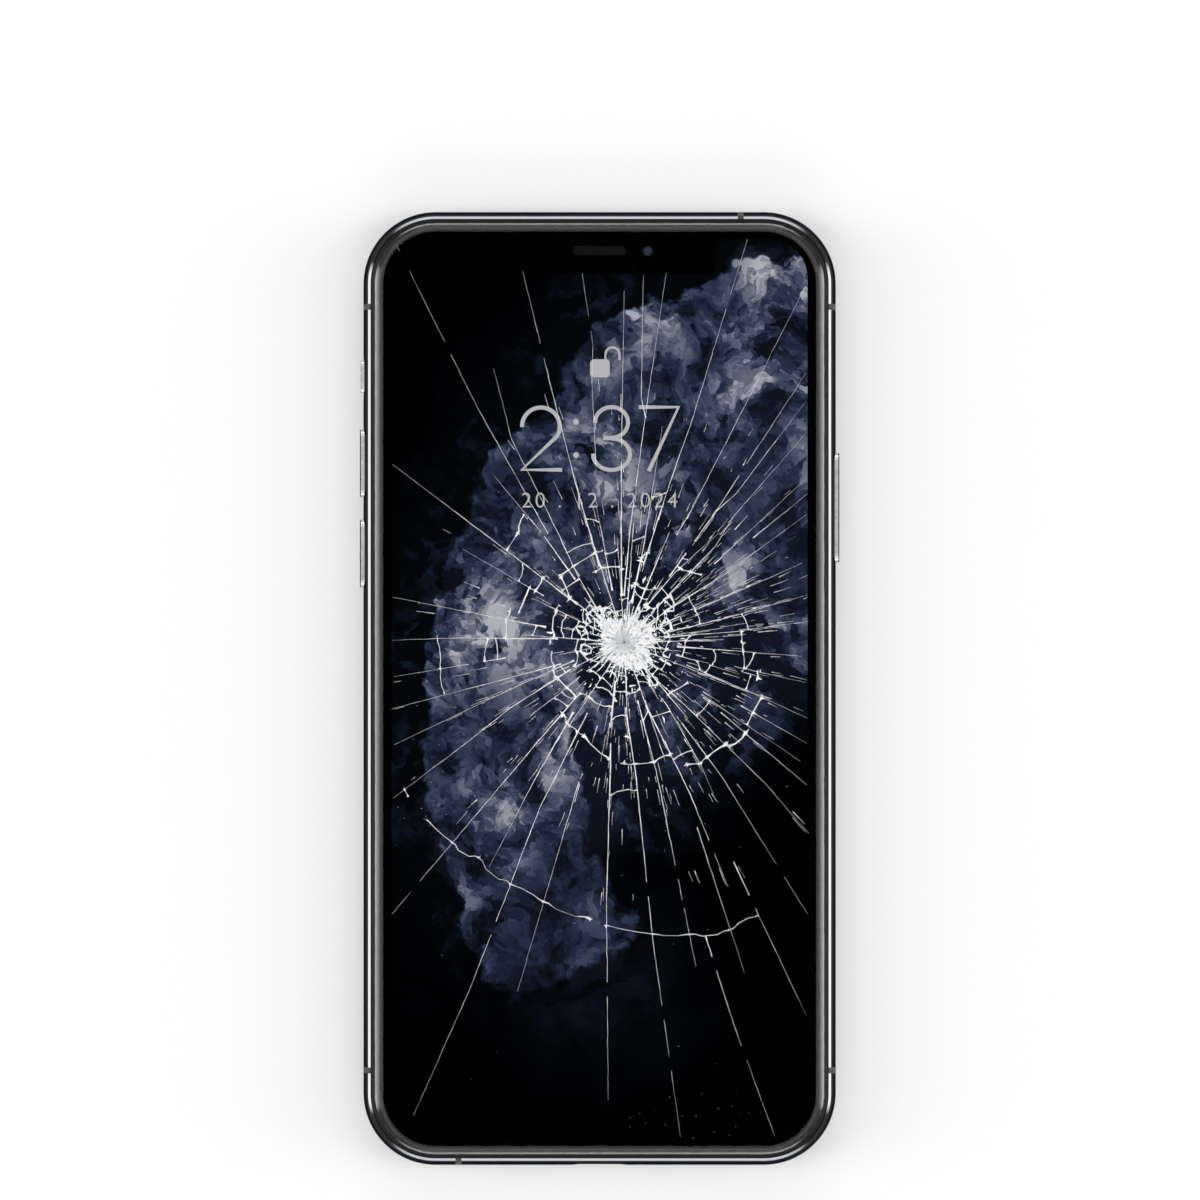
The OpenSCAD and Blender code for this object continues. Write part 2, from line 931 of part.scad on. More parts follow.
module flash_led() {
    color([0.95, 0.93, 0.75])
        translate([window_x - lens_offset, window_y + lens_offset, glass_t])
            cylinder(r = flash_r, h = coil_room);
}

module rear_microphone() {
    color([0.6, 0.6, 0.6])
        translate([window_x - lens_offset, window_y - lens_offset, glass_t])
            cylinder(r = mic_r, h = coil_room);
}

// Battery, boards and shields.

module battery() {
    w = battery_x1 - battery_x0;
    l = board_y1 - battery_y0;
    color([0.16, 0.16, 0.17])
        translate([battery_x0 + w / 2, battery_y0 + l / 2, 0])
            slab(plate_z1, module_top - 0.05)
                rounded(w, l, 1.5);
}

module battery_connector() {
    connector_h = 0.8;
    film = 0.15;
    y0 = tray_y + 8.4;
    y1 = y0 + 2.6;
    top = board_z1 + connector_h;
    color("darkorange") {
        slab(board_z1, top)
            span([board_x0 + 0.5, y0, board_x0 + 4, y1]);
        slab(top, top + film)
            span([battery_x1, y0, board_x0 + 4, y1]);
    }
}

module main_board() {
    color("darkgreen")
        difference() {
            slab(board_z0, board_z1)
                span([board_x0, board_y0, board_x1, board_y1]);
            for (spot = board_screw_spots)
                translate([spot[0], spot[1], board_z0 - 1])
                    cylinder(r = screw_r + screw_gap, h = board_t + 2);
        }
}

module board_screws() {
    color("silver")
        for (spot = board_screw_spots)
            translate([spot[0], spot[1], 0]) {
                translate([0, 0, plate_z1])
                    cylinder(r = screw_r, h = board_z1 - plate_z1 + eps);
                translate([0, 0, board_z1])
                    cylinder(r = screw_head_r, h = screw_head_h);
            }
}

module can(box, z0) {
    difference() {
        slab(z0, z0 + can_h)
            span(box);
        slab(z0 - 1, z0 + can_h - sheet_t)
            span([box[0] + sheet_t, box[1] + sheet_t, box[2] - sheet_t, box[3] - sheet_t]);
    }
}

module shield_cans() {
    radio_can = [radio_board_span[0] + 1.4, radio_board_span[1] + 1.2,
        radio_board_span[2] - 1.4, radio_board_span[3] - 1.2];
    color("lightsteelblue") {
        can(upper_can, board_z1);
        can(lower_can, board_z1);
        can(radio_can, radio_can_z0);
    }
}

module radio_board() {
    color("darkgreen")
        slab(plate_z1, radio_can_z0)
            span(radio_board_span);
}

// Card reader, tray and card.

module sim_reader() {
    half = blade_w / 2 + reader_gap;
    color("lightsteelblue") {
        difference() {
            slab(board_z1, reader_z1)
                span([reader_x0, tray_y - half - sheet_t, board_x1, tray_y + half + sheet_t]);
            slab(board_z1 - 1, reader_z1 - sheet_t)
                span([reader_x0 + sheet_t, tray_y - half, board_x1 + 1, tray_y + half]);
        }
        for (x = [-1, 1], y = [-1:1])
            translate([card_x + 2.2 * x, tray_y + 3.2 * y, 0])
                slab(board_z1, mid_z - blade_t / 2 - 0.1)
                    square([1.6, 1], center = true);
    }
}

module sim_tray() {
    head_x0 = inner_x - 0.4;
    blade_z0 = mid_z - blade_t / 2;
    color("dimgray")
        difference() {
            union() {
                intersection() {
                    along_x(head_x0, body_w / 2 + 1, tray_y, mid_z)
                        stadium(tray_l, tray_h);
                    along_y(body_w / 2 - band_arc_r, tray_y - tray_l, tray_y + tray_l, mid_z)
                        circle(band_arc_r);
                }
                slab(blade_z0, blade_z0 + blade_t)
                    span([blade_x0, tray_y - blade_w / 2, head_x0 + 1, tray_y + blade_w / 2]);
            }
            translate([card_x, tray_y, 0]) {
                slab(blade_z0 + card_seat, body_t)
                    square([card_w + 2 * card_gap, card_l + 2 * card_gap], center = true);
                slab(-1, body_t)
                    square([card_w - 2 * card_sill, card_l - 2 * card_sill], center = true);
            }
            along_x(head_x0 + 1, body_w, tray_y - tray_l / 2 + pin_hole_from_end, mid_z)
                circle(pin_hole_r);
        }
}

module sim_card() {
    z0 = mid_z - blade_t / 2 + card_seat;
    color("gold")
        translate([card_x, tray_y, 0])
            slab(z0, z0 + card_t)
                square([card_w, card_l], center = true);
}

// Side buttons. Each is drawn on the right side, and the left ones are mirrored.

module side_button(y, l) {
    half = l / 2;
    tip = body_w / 2 + button_proud;
    intersection() {
        along_x(flange_x1 - eps, tip, y, mid_z)
            stadium(l, button_h);
        slab(0, body_t)
            polygon([
                [flange_x0, y - half], [tip - button_chamfer, y - half],
                [tip, y - half + button_chamfer], [tip, y + half - button_chamfer],
                [tip - button_chamfer, y + half], [flange_x0, y + half]
            ]);
    }
    along_x(flange_x0, flange_x1, y, mid_z)
        square([l + 2 * flange_rim, flange_h], center = true);
    along_x(flange_x0 - nub_l, flange_x0 + eps, y, mid_z)
        circle(nub_r);
}

module volume_up_button() {
    color("darkgray")
        left_side()
            side_button(volume_up_y, volume_l);
}

module volume_down_button() {
    color("darkgray")
        left_side()
            side_button(volume_down_y, volume_l);
}

module power_button() {
    color("darkgray")
        side_button(power_y, power_l);
}

module mute_switch() {
    z = mid_z + mute_travel / 2;
    color("darkgray")
        left_side() {
            along_x(flange_x1 - eps, body_w / 2 + mute_proud, mute_y, z)
                stadium(mute_l, mute_h);
            along_x(flange_x0, flange_x1, mute_y, z)
                square([mute_l + 2.6, inner_h - mute_travel - 0.2], center = true);
        }
}

module mute_module() {
    color([0.15, 0.15, 0.15])
        left_side()
            along_x(bracket_x1, flange_x0 - switch_gap, mute_y, mid_z)
                square([mute_l + 0.8, inner_h - 1.1], center = true);
}

// A switch strip with a dome behind each button.
module button_strip(y0, y1, domes) {
    along_x(bracket_x1, strip_x1, (y0 + y1) / 2, mid_z)
        square([y1 - y0, inner_h - 1.2], center = true);
    for (y = domes)
        along_x(strip_x1 - eps, dome_x1, y, mid_z)
            circle(dome_r);
}

module button_bracket(y0, y1) {
    slab(plate_z1, module_top - 0.2)
        span([bracket_x1 - bracket_t, y0, bracket_x1, y1]);
}

module button_strip_left() {
    color("darkorange")
        left_side()
            button_strip(volume_down_y - volume_l / 2, volume_up_y + volume_l / 2 - 0.5,
                [volume_down_y, volume_up_y]);
}

module button_bracket_left() {
    color("silver")
        left_side()
            button_bracket(volume_down_y - volume_l / 2 - 1.5, mute_y + mute_l / 2 + 1.5);
}

module button_strip_right() {
    color("darkorange")
        button_strip(power_y - power_l / 2, power_y + power_l / 2, [power_y]);
}

module button_bracket_right() {
    color("silver")
        button_bracket(power_y - power_l / 2 - 1.5, power_y + power_l / 2 + 1.5);
}

// Port end.

module port_shell() {
    color("silver")
        difference() {
            along_y(0, port_y0, port_y1, mid_z)
                stadium(port_w, port_h);
            along_y(0, port_y0 - 1, port_y1 - port_back, mid_z)
                stadium(port_w - 2 * port_wall, port_h - 2 * port_wall);
        }
}

module port_tongue() {
    back = port_y1 - port_back;
    color([0.1, 0.1, 0.1])
        along_y(0, back - tongue_l, back, mid_z)
            square([tongue_w, tongue_t], center = true);
}

module port_board() {
    color("darkgreen")
        slab(plate_z1, mid_z - port_h / 2)
            span([-port_board_x, -inner_y + 0.5, port_board_x, module_y1 + 2]);
}

module port_microphone() {
    color("gold")
        slab(mid_z - port_h / 2, mid_z - port_h / 2 + 0.6)
            span([-port_board_x + 0.2, -inner_y + 0.7, -port_w / 2 - 0.7, -inner_y + 2.9]);
}

// An end module that follows the inner corner of the band.
module end_module(x0, x1) {
    slab(plate_z1, module_top)
        intersection() {
            span([x0, module_y0, x1, module_y1]);
            outline(band_wall + module_gap);
        }
}

module loudspeaker() {
    color([0.13, 0.13, 0.14])
        end_module(-inner_x, -module_x0);
}

module vibration_motor() {
    color("slategray")
        end_module(module_x0, inner_x);
}

module grille_mesh() {
    x0 = grille_first - grille_r - 0.4;
    x1 = break_x - break_w / 2 - 0.1;
    color([0.3, 0.3, 0.3])
        for (side = [-1, 1])
            along_y(side * (x0 + x1) / 2, -inner_y, -inner_y + mesh_t, mid_z)
                square([x1 - x0, 2 * grille_r + 0.8], center = true);
}

module end_screws() {
    head_y0 = -body_l / 2 + 0.2;
    color("silver")
        for (side = [-1, 1]) {
            along_y(side * end_screw_x, head_y0, head_y0 + end_screw_head_l, mid_z)
                circle(end_screw_head_r);
            along_y(side * end_screw_x, head_y0, head_y0 + end_screw_l, mid_z)
                circle(screw_r);
        }
}

band_left();
band_right();
band_top_left();
band_top_right();
band_bottom_left();
band_bottom_right();
antenna_breaks();
cover_glass();
display_panel();
display_backing();
display_bezel();
display_seal();
display_flex();
earpiece_mesh();
earpiece_speaker();
front_camera();
front_lens();
sensor_modules();
sensor_plate();
chassis_plate();
back_glass();
back_bezel();
charging_coil();
coil_ferrite();
camera_trim();
camera_pane();
flash_led();
rear_microphone();
battery();
battery_connector();
main_board();
board_screws();
shield_cans();
radio_board();
sim_reader();
sim_tray();
sim_card();
button_bracket_left();
button_strip_left();
button_bracket_right();
button_strip_right();
mute_module();
mute_switch();
volume_up_button();
volume_down_button();
power_button();
port_shell();
port_tongue();
port_board();
port_microphone();
loudspeaker();
vibration_motor();
grille_mesh();
end_screws();
for (i = [1:2]) rear_camera(i);
for (i = [1:2]) rear_lens(i);
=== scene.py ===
"""Looks of the phone with the shattered screen: finishes, lit display, cracks, small details."""

import json
import math
import random

import bpy
from mathutils import Matrix, Vector

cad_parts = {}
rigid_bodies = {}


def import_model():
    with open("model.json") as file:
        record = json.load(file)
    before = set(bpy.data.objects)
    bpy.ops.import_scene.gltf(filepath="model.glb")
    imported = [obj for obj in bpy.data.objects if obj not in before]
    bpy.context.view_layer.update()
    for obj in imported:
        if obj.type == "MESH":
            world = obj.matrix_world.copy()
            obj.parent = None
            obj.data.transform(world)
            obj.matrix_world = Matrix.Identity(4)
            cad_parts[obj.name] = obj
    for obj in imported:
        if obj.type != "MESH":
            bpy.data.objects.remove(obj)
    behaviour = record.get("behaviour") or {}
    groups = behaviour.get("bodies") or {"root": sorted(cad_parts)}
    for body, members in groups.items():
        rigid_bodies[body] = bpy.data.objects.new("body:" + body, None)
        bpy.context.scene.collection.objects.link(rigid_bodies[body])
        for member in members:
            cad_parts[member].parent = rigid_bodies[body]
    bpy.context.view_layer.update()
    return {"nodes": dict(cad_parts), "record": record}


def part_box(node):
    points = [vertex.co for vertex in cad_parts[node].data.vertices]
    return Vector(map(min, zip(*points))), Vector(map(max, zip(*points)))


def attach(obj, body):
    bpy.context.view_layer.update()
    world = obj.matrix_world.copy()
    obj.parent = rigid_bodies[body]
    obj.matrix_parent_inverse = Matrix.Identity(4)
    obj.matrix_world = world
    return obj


bpy.ops.object.select_all(action="SELECT")
bpy.ops.object.delete()
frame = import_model()
bpy.ops.object.select_all(action="DESELECT")

MM = 0.001
# Heights and outlines of the stack, from the CAD nodes, in millimetres.
GLASS_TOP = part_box("cover_glass")[1].z / MM
PANEL_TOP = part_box("display_panel")[1].z / MM
BLOW = Vector((3.7, 7.0, 0))
HALF_W = 35.7
HALF_L = 72.0
CORNER = 10.9
FRONT_CAMERA = (7.3, 66.0)


# ---------------------------------------------------------------- materials

def linear(colour):
    """An sRGB hex colour as linear RGBA."""
    parts = [int(colour[i:i + 2], 16) / 255 for i in (1, 3, 5)]
    return [p / 12.92 if p <= 0.04045 else ((p + 0.055) / 1.055) ** 2.4 for p in parts] + [1]


def feed(node, sockets):
    """Sets inputs, in order or by name, to a value, an output, or a node's first live output."""
    for name, value in sockets.items() if isinstance(sockets, dict) else enumerate(sockets):
        if isinstance(value, bpy.types.Node):
            value = next(output for output in value.outputs if output.enabled)
        if isinstance(value, bpy.types.NodeSocket):
            node.id_data.links.new(value, node.inputs[name])
        else:
            node.inputs[name].default_value = value


def add(tree, kind, sockets=(), **settings):
    """Adds a shader node with its settings, and feeds its inputs."""
    node = tree.nodes.new("ShaderNode" + kind)
    for name, value in settings.items():
        setattr(node, name, value)
    feed(node, sockets)
    return node


def set_stops(ramp, stops):
    """Gives a colour ramp its stops: each a position, and a hex colour or a grey level."""
    elements = ramp.color_ramp.elements
    while len(elements) < len(stops):
        elements.new(0.5)
    for element, (position, colour) in zip(elements, stops):
        element.position = position
        element.color = linear(colour) if isinstance(colour, str) else (colour, colour, colour, 1)


def finish(name, colour, roughness, metallic=0.0, **more):
    """A new material with its Principled shader; the numbers sit on the shader's own sockets."""
    material = bpy.data.materials.new(name)
    material.use_nodes = True
    shader = material.node_tree.nodes["Principled BSDF"]
    feed(shader, {"Base Color": linear(colour), "Roughness": roughness, "Metallic": metallic})
    feed(shader, {socket.replace("_", " "): value for socket, value in more.items()})
    return material, material.node_tree, shader


def in_mm(tree, scale=(1, 1, 1), turn=0.0):
    """Object coordinates in millimetres, stretched by scale."""
    return add(tree, "Mapping", {"Vector": add(tree, "TexCoord").outputs["Object"],
                                 "Scale": [1000 * s for s in scale], "Rotation": (0, 0, turn)})


def steepness(tree, vector, axis):
    """The size of one axis of a vector, whichever way it points."""
    return add(tree, "Math", [add(tree, "SeparateXYZ", [vector]).outputs[axis]], operation="ABSOLUTE")


def distance_from(tree, place, centre, squeeze=(1, 1, 1)):
    """How far a place is from a centre, once each axis is squeezed."""
    off = add(tree, "VectorMath", [place, centre], operation="SUBTRACT")
    off = add(tree, "VectorMath", [off, squeeze], operation="MULTIPLY")
    return add(tree, "VectorMath", [off], operation="LENGTH")


def let_lamps_through(tree, shader, clear):
    """Lets the lamps shine through a pane, as they do through real glass."""
    pane = add(tree, "BsdfTransparent", {"Color": (clear, clear, clear, 1)})
    shadow = add(tree, "LightPath").outputs["Is Shadow Ray"]
    feed(tree.nodes["Material Output"], {"Surface": add(tree, "MixShader", [shadow, shader, pane])})


def grained(name, dark, light, grain, roughness, metallic=0.0, bump=0.0, stretch=(1, 1, 1), **more):
    """A surface whose colour and gloss wander between two values, with grain in millimetres."""
    material, tree, shader = finish(name, light, roughness[1], metallic, **more)
    pattern = add(tree, "TexNoise", {"Vector": in_mm(tree, stretch), "Scale": 1 / grain, "Detail": 5.0,
                                     "Roughness": 0.6})
    ramp = add(tree, "ValToRGB", [pattern])
    set_stops(ramp, [(0.32, dark), (0.68, light)])
    feed(shader, {"Base Color": ramp, "Roughness": add(tree, "MapRange", [pattern, 0.3, 0.7, *roughness])})
    if bump:
        relief = {"Height": pattern, "Strength": 1.0, "Distance": bump * MM}
        feed(shader, {"Normal": add(tree, "Bump", relief)})
    return material


def paint_side_highlight(material, axis, colour, shade_line, reach):
    """Paints a highlight on the sides round a face that looks along an axis up to reach, and a painted shade
    line on the lip beyond it.
    """
    tree = material.node_tree
    base = tree.nodes["Principled BSDF"].inputs["Base Color"]
    facing = steepness(tree, add(tree, "TexCoord").outputs["Normal"], axis)
    # Painted highlight on the sides within reach, and a painted shade line on the lip beyond it; faces along
    # the axis keep their own colour.
    edge = add(tree, "MapRange", [steepness(tree, in_mm(tree), axis), reach, reach + 0.02])
    face = add(tree, "MapRange", [facing, 0.9, 0.97])
    tone = add(tree, "Mix", {0: edge, 6: linear(colour), 7: linear(shade_line)}, data_type="RGBA")
    tone = add(tree, "Mix", {0: face, 6: tone, 7: base.links[0].from_socket}, data_type="RGBA")
    feed(base.node, {"Base Color": tone})
    return material


def cover_glass_finish():
    """Aluminosilicate cover glass, fire-polished flat, rim ground round and polished."""
    # The flat face is clear; the ground rim throws back more light than the face does.
    material, tree, shader = finish("aluminosilicate_glass", "#ffffff", 0.0, IOR=1.51,
                                    Transmission_Weight=1.0, Coat_IOR=1.78, Coat_Roughness=0.06)
    slope = add(tree, "SeparateXYZ", [add(tree, "NewGeometry").outputs["Normal"]])
    feed(shader, {"Coat Weight": add(tree, "MapRange", [slope.outputs["Z"], 0.995, 0.88])})
    let_lamps_through(tree, shader, 0.96)
    return material


def optic_glass_finish(name, tint, pale="#ffffff"):
    """Moulded optical glass, polished; its coating or smoke tints what is seen through it."""
    material, tree, shader = finish(name, "#ffffff", 0.02, IOR=1.52, Transmission_Weight=1.0)
    speck = add(tree, "TexNoise", {"Vector": in_mm(tree), "Scale": 1.2, "Detail": 3.0})
    tone = add(tree, "Mix", {0: speck, 6: linear(tint), 7: linear(pale)}, data_type="RGBA")
    feed(shader, {"Base Color": tone})
    let_lamps_through(tree, shader, 0.9)
    return material


def dark_steel_finish():
    """Polished stainless under a dark coat laid on in vacuum: nearly a mirror, with fine wiping marks."""
    material, tree, shader = finish("coated_stainless", "#4f5052", 0.09, 1.0, Specular_Tint=linear("#8c8d8e"))
    marks = add(tree, "TexNoise", {"Vector": in_mm(tree, (1, 0.25, 1)), "Scale": 0.7, "Detail": 5.0,
                                   "Roughness": 0.6})
    coat = add(tree, "Mix", {0: marks, 6: linear("#47484a"), 7: linear("#4f5052")}, data_type="RGBA")
    # Painted highlight: the base colour is lighter on the sloping bevel that meets the glass, so the bevel
    # shines brighter than the coat beside it.
    slope = steepness(tree, add(tree, "TexCoord").outputs["Normal"], "Z")
    bevel, flat = [add(tree, "MapRange", [slope, *ends]) for ends in ((0.7, 0.8), (0.97, 0.93))]
    bevel_highlight = add(tree, "Math", [bevel, flat], operation="MULTIPLY")
    colour = add(tree, "Mix", {0: bevel_highlight, 6: coat, 7: linear("#7c7d80")}, data_type="RGBA")
    feed(shader, {"Base Color": colour, "Roughness": add(tree, "MapRange", [marks, 0.3, 0.7, 0.05, 0.09])})
    return material


def display_finish():
    """Lit OLED panel: a bank of blue-grey cloud on black, which glows and hides the panel's own gloss."""
    material, tree, shader = finish("oled_panel", "#010101", 0.3, Specular_IOR_Level=0.0,
                                    Emission_Strength=1.0)
    flat = add(tree, "VectorMath", [in_mm(tree), (1, 1, 0)], operation="MULTIPLY")
    # Slow and quick drifts push the edge of the bank about, 14 mm and 3 mm across.
    pushed = flat
    for size, reach in ((14, 13), (3, 2.4)):
        drift = add(tree, "TexNoise", {"Vector": flat, "Scale": 1 / size, "Detail": 4.0})
        drift = add(tree, "VectorMath", [drift.outputs["Color"], (0.5, 0.5, 0.5)], operation="SUBTRACT")
        drift = add(tree, "VectorMath", {0: drift, "Scale": reach}, operation="SCALE")
        pushed = add(tree, "VectorMath", [pushed, drift], operation="ADD")
    # The bank is a thick arc that sweeps from the top right round to the bottom left, about a hub.
    # A second bank leans in from the right, and a dim trail hangs from the lower end.
    hub = distance_from(tree, pushed, (34, -6, 0), (1, 0.85, 0))
    aside = distance_from(tree, pushed, (29, 30, 0), (1 / 17, 1 / 25, 0))
    below = distance_from(tree, pushed, (-1, -43, 0), (1 / 23, 1 / 21, 0))
    height, slant = [add(tree, "VectorMath", [pushed, (lean, 1, 0)], operation="DOT_PRODUCT")
                     for lean in (-0.5, -0.7)]
    outer, inner, foot, second, lower = [
        add(tree, "MapRange", [value, first, last], interpolation_type="SMOOTHSTEP")
        for value, first, last in ((hub, 64, 57), (hub, 27, 47), (height, -49, -32), (aside, 1.0, 0.7),
                                   (slant, -38, -12))]
    bank = outer
    for edge, operation in ((inner, "MULTIPLY"), (foot, "MULTIPLY"), (second, "MAXIMUM")):
        bank = add(tree, "Math", [bank, edge], operation=operation)
    # Swells of 9 mm tear the edge of the bank; the billows on it fall in steps, like washes of ink.
    # It is laid on in dabs, one flat shade to each millimetre or so.
    dabs = add(tree, "TexVoronoi", {"Vector": pushed, "Scale": 1 / 1.1})
    dabbed = add(tree, "Mix", {0: 0.7, 4: pushed, 5: dabs.outputs["Position"]}, data_type="VECTOR")
    swell = add(tree, "TexNoise", {"Vector": dabbed, "Scale": 1 / 9, "Detail": 6.0, "Roughness": 0.62})
    cover = add(tree, "Math", [bank, swell], operation="ADD")
    cover = add(tree, "MapRange", [cover, 0.93, 1.08])
    billow = add(tree, "TexNoise", {"Vector": dabbed, "Scale": 1 / 6, "Detail": 6.0, "Roughness": 0.68})
    # Round heads with sharp creases between them, each with smaller heads on it.
    heads = add(tree, "TexVoronoi", {"Vector": dabbed, "Scale": 1 / 8, "Detail": 3.0, "Roughness": 0.6},
                normalize=True)
    heaped = add(tree, "Math", [heads, -0.5, billow], operation="MULTIPLY_ADD")
    shade = add(tree, "MapRange", [heaped, 0.2, 0.46])
    wash = add(tree, "Math", [shade, 0.15], operation="SNAP")
    shade = add(tree, "Mix", {0: 0.85, 2: shade, 3: wash})
    # Whole banks of it stand in shade, 20 mm across, and its lower end sinks into the dark.
    slow = add(tree, "TexNoise", {"Vector": flat, "Scale": 1 / 20, "Detail": 3.0})
    slow = add(tree, "MapRange", [slow, 0.38, 0.62, 0.45, 1.05])
    sunk = add(tree, "MapRange", [height, -48, -12, 0.62, 1.0])
    lit = add(tree, "Math", [shade, slow], operation="MULTIPLY")
    lit = add(tree, "Math", [lit, 0.86, 0.16], operation="MULTIPLY_ADD")
    for dimmer in (cover, sunk):
        lit = add(tree, "Math", [lit, dimmer], operation="MULTIPLY")
    trail = add(tree, "MapRange", [below, 1.0, 0.2, 0.0, 0.42])
    trail = add(tree, "Math", [trail, heaped], operation="MULTIPLY")
    # Inside the arc a thin dark haze stands, with torn scraps of cloud in it.
    haze = add(tree, "MapRange", [hub, 76, 40, 0.0, 0.22])
    for dimmer in (foot, lower):
        haze = add(tree, "Math", [haze, dimmer], operation="MULTIPLY")
    scrap = add(tree, "MapRange", [swell, 0.5, 0.57])
    for dimmer in (haze, shade):
        scrap = add(tree, "Math", [scrap, dimmer], operation="MULTIPLY")
    haze = add(tree, "Math", [scrap, 2.6, haze], operation="MULTIPLY_ADD")
    for other in (trail, haze):
        lit = add(tree, "Math", [lit, other], operation="MAXIMUM")
    shades = add(tree, "ValToRGB", [lit])
    set_stops(shades, [(0.0, "#000001"), (0.1, "#05070b"), (0.25, "#121928"), (0.42, "#273048"),
                       (0.58, "#444c64"), (0.76, "#727788"), (1.0, "#b4b7c0")])
    feed(shader, {"Emission Color": shades})
    return material


def lit_mark_finish():
    """Marks that the panel lights in part-bright white: the clock, the date and the padlock."""
    material, tree, shader = finish("lit_white", "#080808", 0.5, Emission_Strength=0.85)
    raster = add(tree, "TexNoise", {"Vector": in_mm(tree), "Scale": 4.0, "Detail": 2.0})
    tone = add(tree, "Mix", {0: raster, 6: linear("#bcbcbf"), 7: linear("#c9c9cb")}, data_type="RGBA")
    feed(shader, {"Emission Color": tone})
    return material


def broken_glass_finish():
    """Fresh fracture faces of glass: countless small facets that read as bright white."""
    material, tree, shader = finish("fractured_glass", "#f6f8fb", 0.3, IOR=1.51)
    place = in_mm(tree)
    facets = add(tree, "TexVoronoi", {"Vector": place, "Scale": 4.0})
    tone = add(tree, "ValToRGB", [facets.outputs["Color"]])
    set_stops(tone, [(0.1, "#d5dae2"), (0.4, "#ffffff")])
    # Ground to powder in the middle, where it lets the dark show through.
    spot = add(tree, "VectorMath", [place, (BLOW.x, BLOW.y, GLASS_TOP)], operation="SUBTRACT")
    far = add(tree, "VectorMath", [spot], operation="LENGTH")
    cloudy = add(tree, "TexNoise", {"Vector": place, "Scale": 0.8, "Detail": 6.0})
    powder = add(tree, "Math", [cloudy, 3.4, far], operation="MULTIPLY_ADD")
    powder = add(tree, "MapRange", [powder, 4.0, 1.6])
    # Dark veins run out from the blow through the crushed glass, 5 to 10 degrees apart.
    way = add(tree, "VectorMath", [spot], operation="NORMALIZE")
    way = add(tree, "VectorMath", [way, (6, 6, 6), place], operation="MULTIPLY_ADD")
    veins = add(tree, "TexNoise", {"Vector": way, "Scale": 1.0, "Detail": 3.0})
    veins = add(tree, "MapRange", [veins, 0.46, 0.36, 0.0, 0.8])
    close = add(tree, "MapRange", [far, 5.0, 3.8])
    veins = add(tree, "Math", [veins, close], operation="MULTIPLY")
    for share, colour in ((veins, "#6d7178"), (powder, "#b4b7bb")):
        tone = add(tree, "Mix", {0: share, 6: tone, 7: linear(colour)}, data_type="RGBA")
    relief = add(tree, "Bump", {"Height": facets, "Strength": 0.35, "Distance": 0.04 * MM})
    feed(shader, {"Base Color": tone, "Normal": relief})
    return material


def woven_mesh_finish():
    """Woven steel cloth: dark round wires, with painted shade near black in the holes between them, one wire
    each 0.16 mm.
    """
    material, tree, shader = finish("woven_steel_cloth", "#0e0f10", 0.4, 0.9)
    waves = [add(tree, "TexWave", {"Vector": in_mm(tree, turn=turn), "Scale": 1 / 0.16 / 3.2}).outputs["Fac"]
             for turn in (0.0, math.pi / 2)]
    cloth = add(tree, "Math", waves, operation="MAXIMUM")
    tone = add(tree, "Mix", {0: cloth, 6: linear("#020202"), 7: linear("#0e0f10")}, data_type="RGBA")
    relief = add(tree, "Bump", {"Height": cloth, "Strength": 0.8, "Distance": 0.03 * MM})
    feed(shader, {"Base Color": tone, "Normal": relief})
    return material


def circuit_board_finish():
    """Glass-epoxy board under dark solder mask, with copper tracks that show as paler lines."""
    material, tree, shader = finish("solder_mask_board", "#0d2a24", 0.35)
    tracks = add(tree, "TexBrick", {"Vector": in_mm(tree), "Scale": 0.6, "Mortar Size": 0.04,
                                    "Color1": linear("#0c221e"), "Color2": linear("#11302a"),
                                    "Mortar": linear("#2c5a48")})
    relief = add(tree, "Bump", {"Height": tracks.outputs["Fac"], "Strength": 0.4, "Distance": 0.02 * MM})
    feed(shader, {"Base Color": tracks, "Normal": relief})
    return material


def sim_card_finish(x, y):
    """Printed white PVC card, with its gold-plated pad, split into six fields, on the back face."""
    material, tree, shader = finish("pvc_card", "#e9eaea", 0.42)
    spot = add(tree, "VectorMath", [in_mm(tree), (x, y, 0)], operation="SUBTRACT")
    facing = add(tree, "SeparateXYZ", [add(tree, "TexCoord").outputs["Normal"]])
    pad = 1.0
    for value, limit in ((steepness(tree, spot, "X"), 3.9), (steepness(tree, spot, "Y"), 5.0),
                         (facing.outputs["Z"], -0.5)):
        inside = add(tree, "Math", [value, limit], operation="LESS_THAN")
        pad = add(tree, "Math", [inside, pad], operation="MULTIPLY")
    fields = add(tree, "TexBrick", {"Vector": spot, "Scale": 1.0, "Mortar Size": 0.08, "Brick Width": 3.9,
                                    "Row Height": 3.3, "Color1": linear("#c9a04c"),
                                    "Color2": linear("#d2ab5a"), "Mortar": linear("#4a3a18")}, offset=0.0)
    speck = add(tree, "TexNoise", {"Vector": in_mm(tree), "Scale": 1.5, "Detail": 4.0})
    card = add(tree, "Mix", {0: speck, 6: linear("#e2e3e4"), 7: linear("#f0f0ef")}, data_type="RGBA")
    feed(shader, {"Base Color": add(tree, "Mix", {0: pad, 6: card, 7: fields}, data_type="RGBA"),
                  "Metallic": pad})
    return material


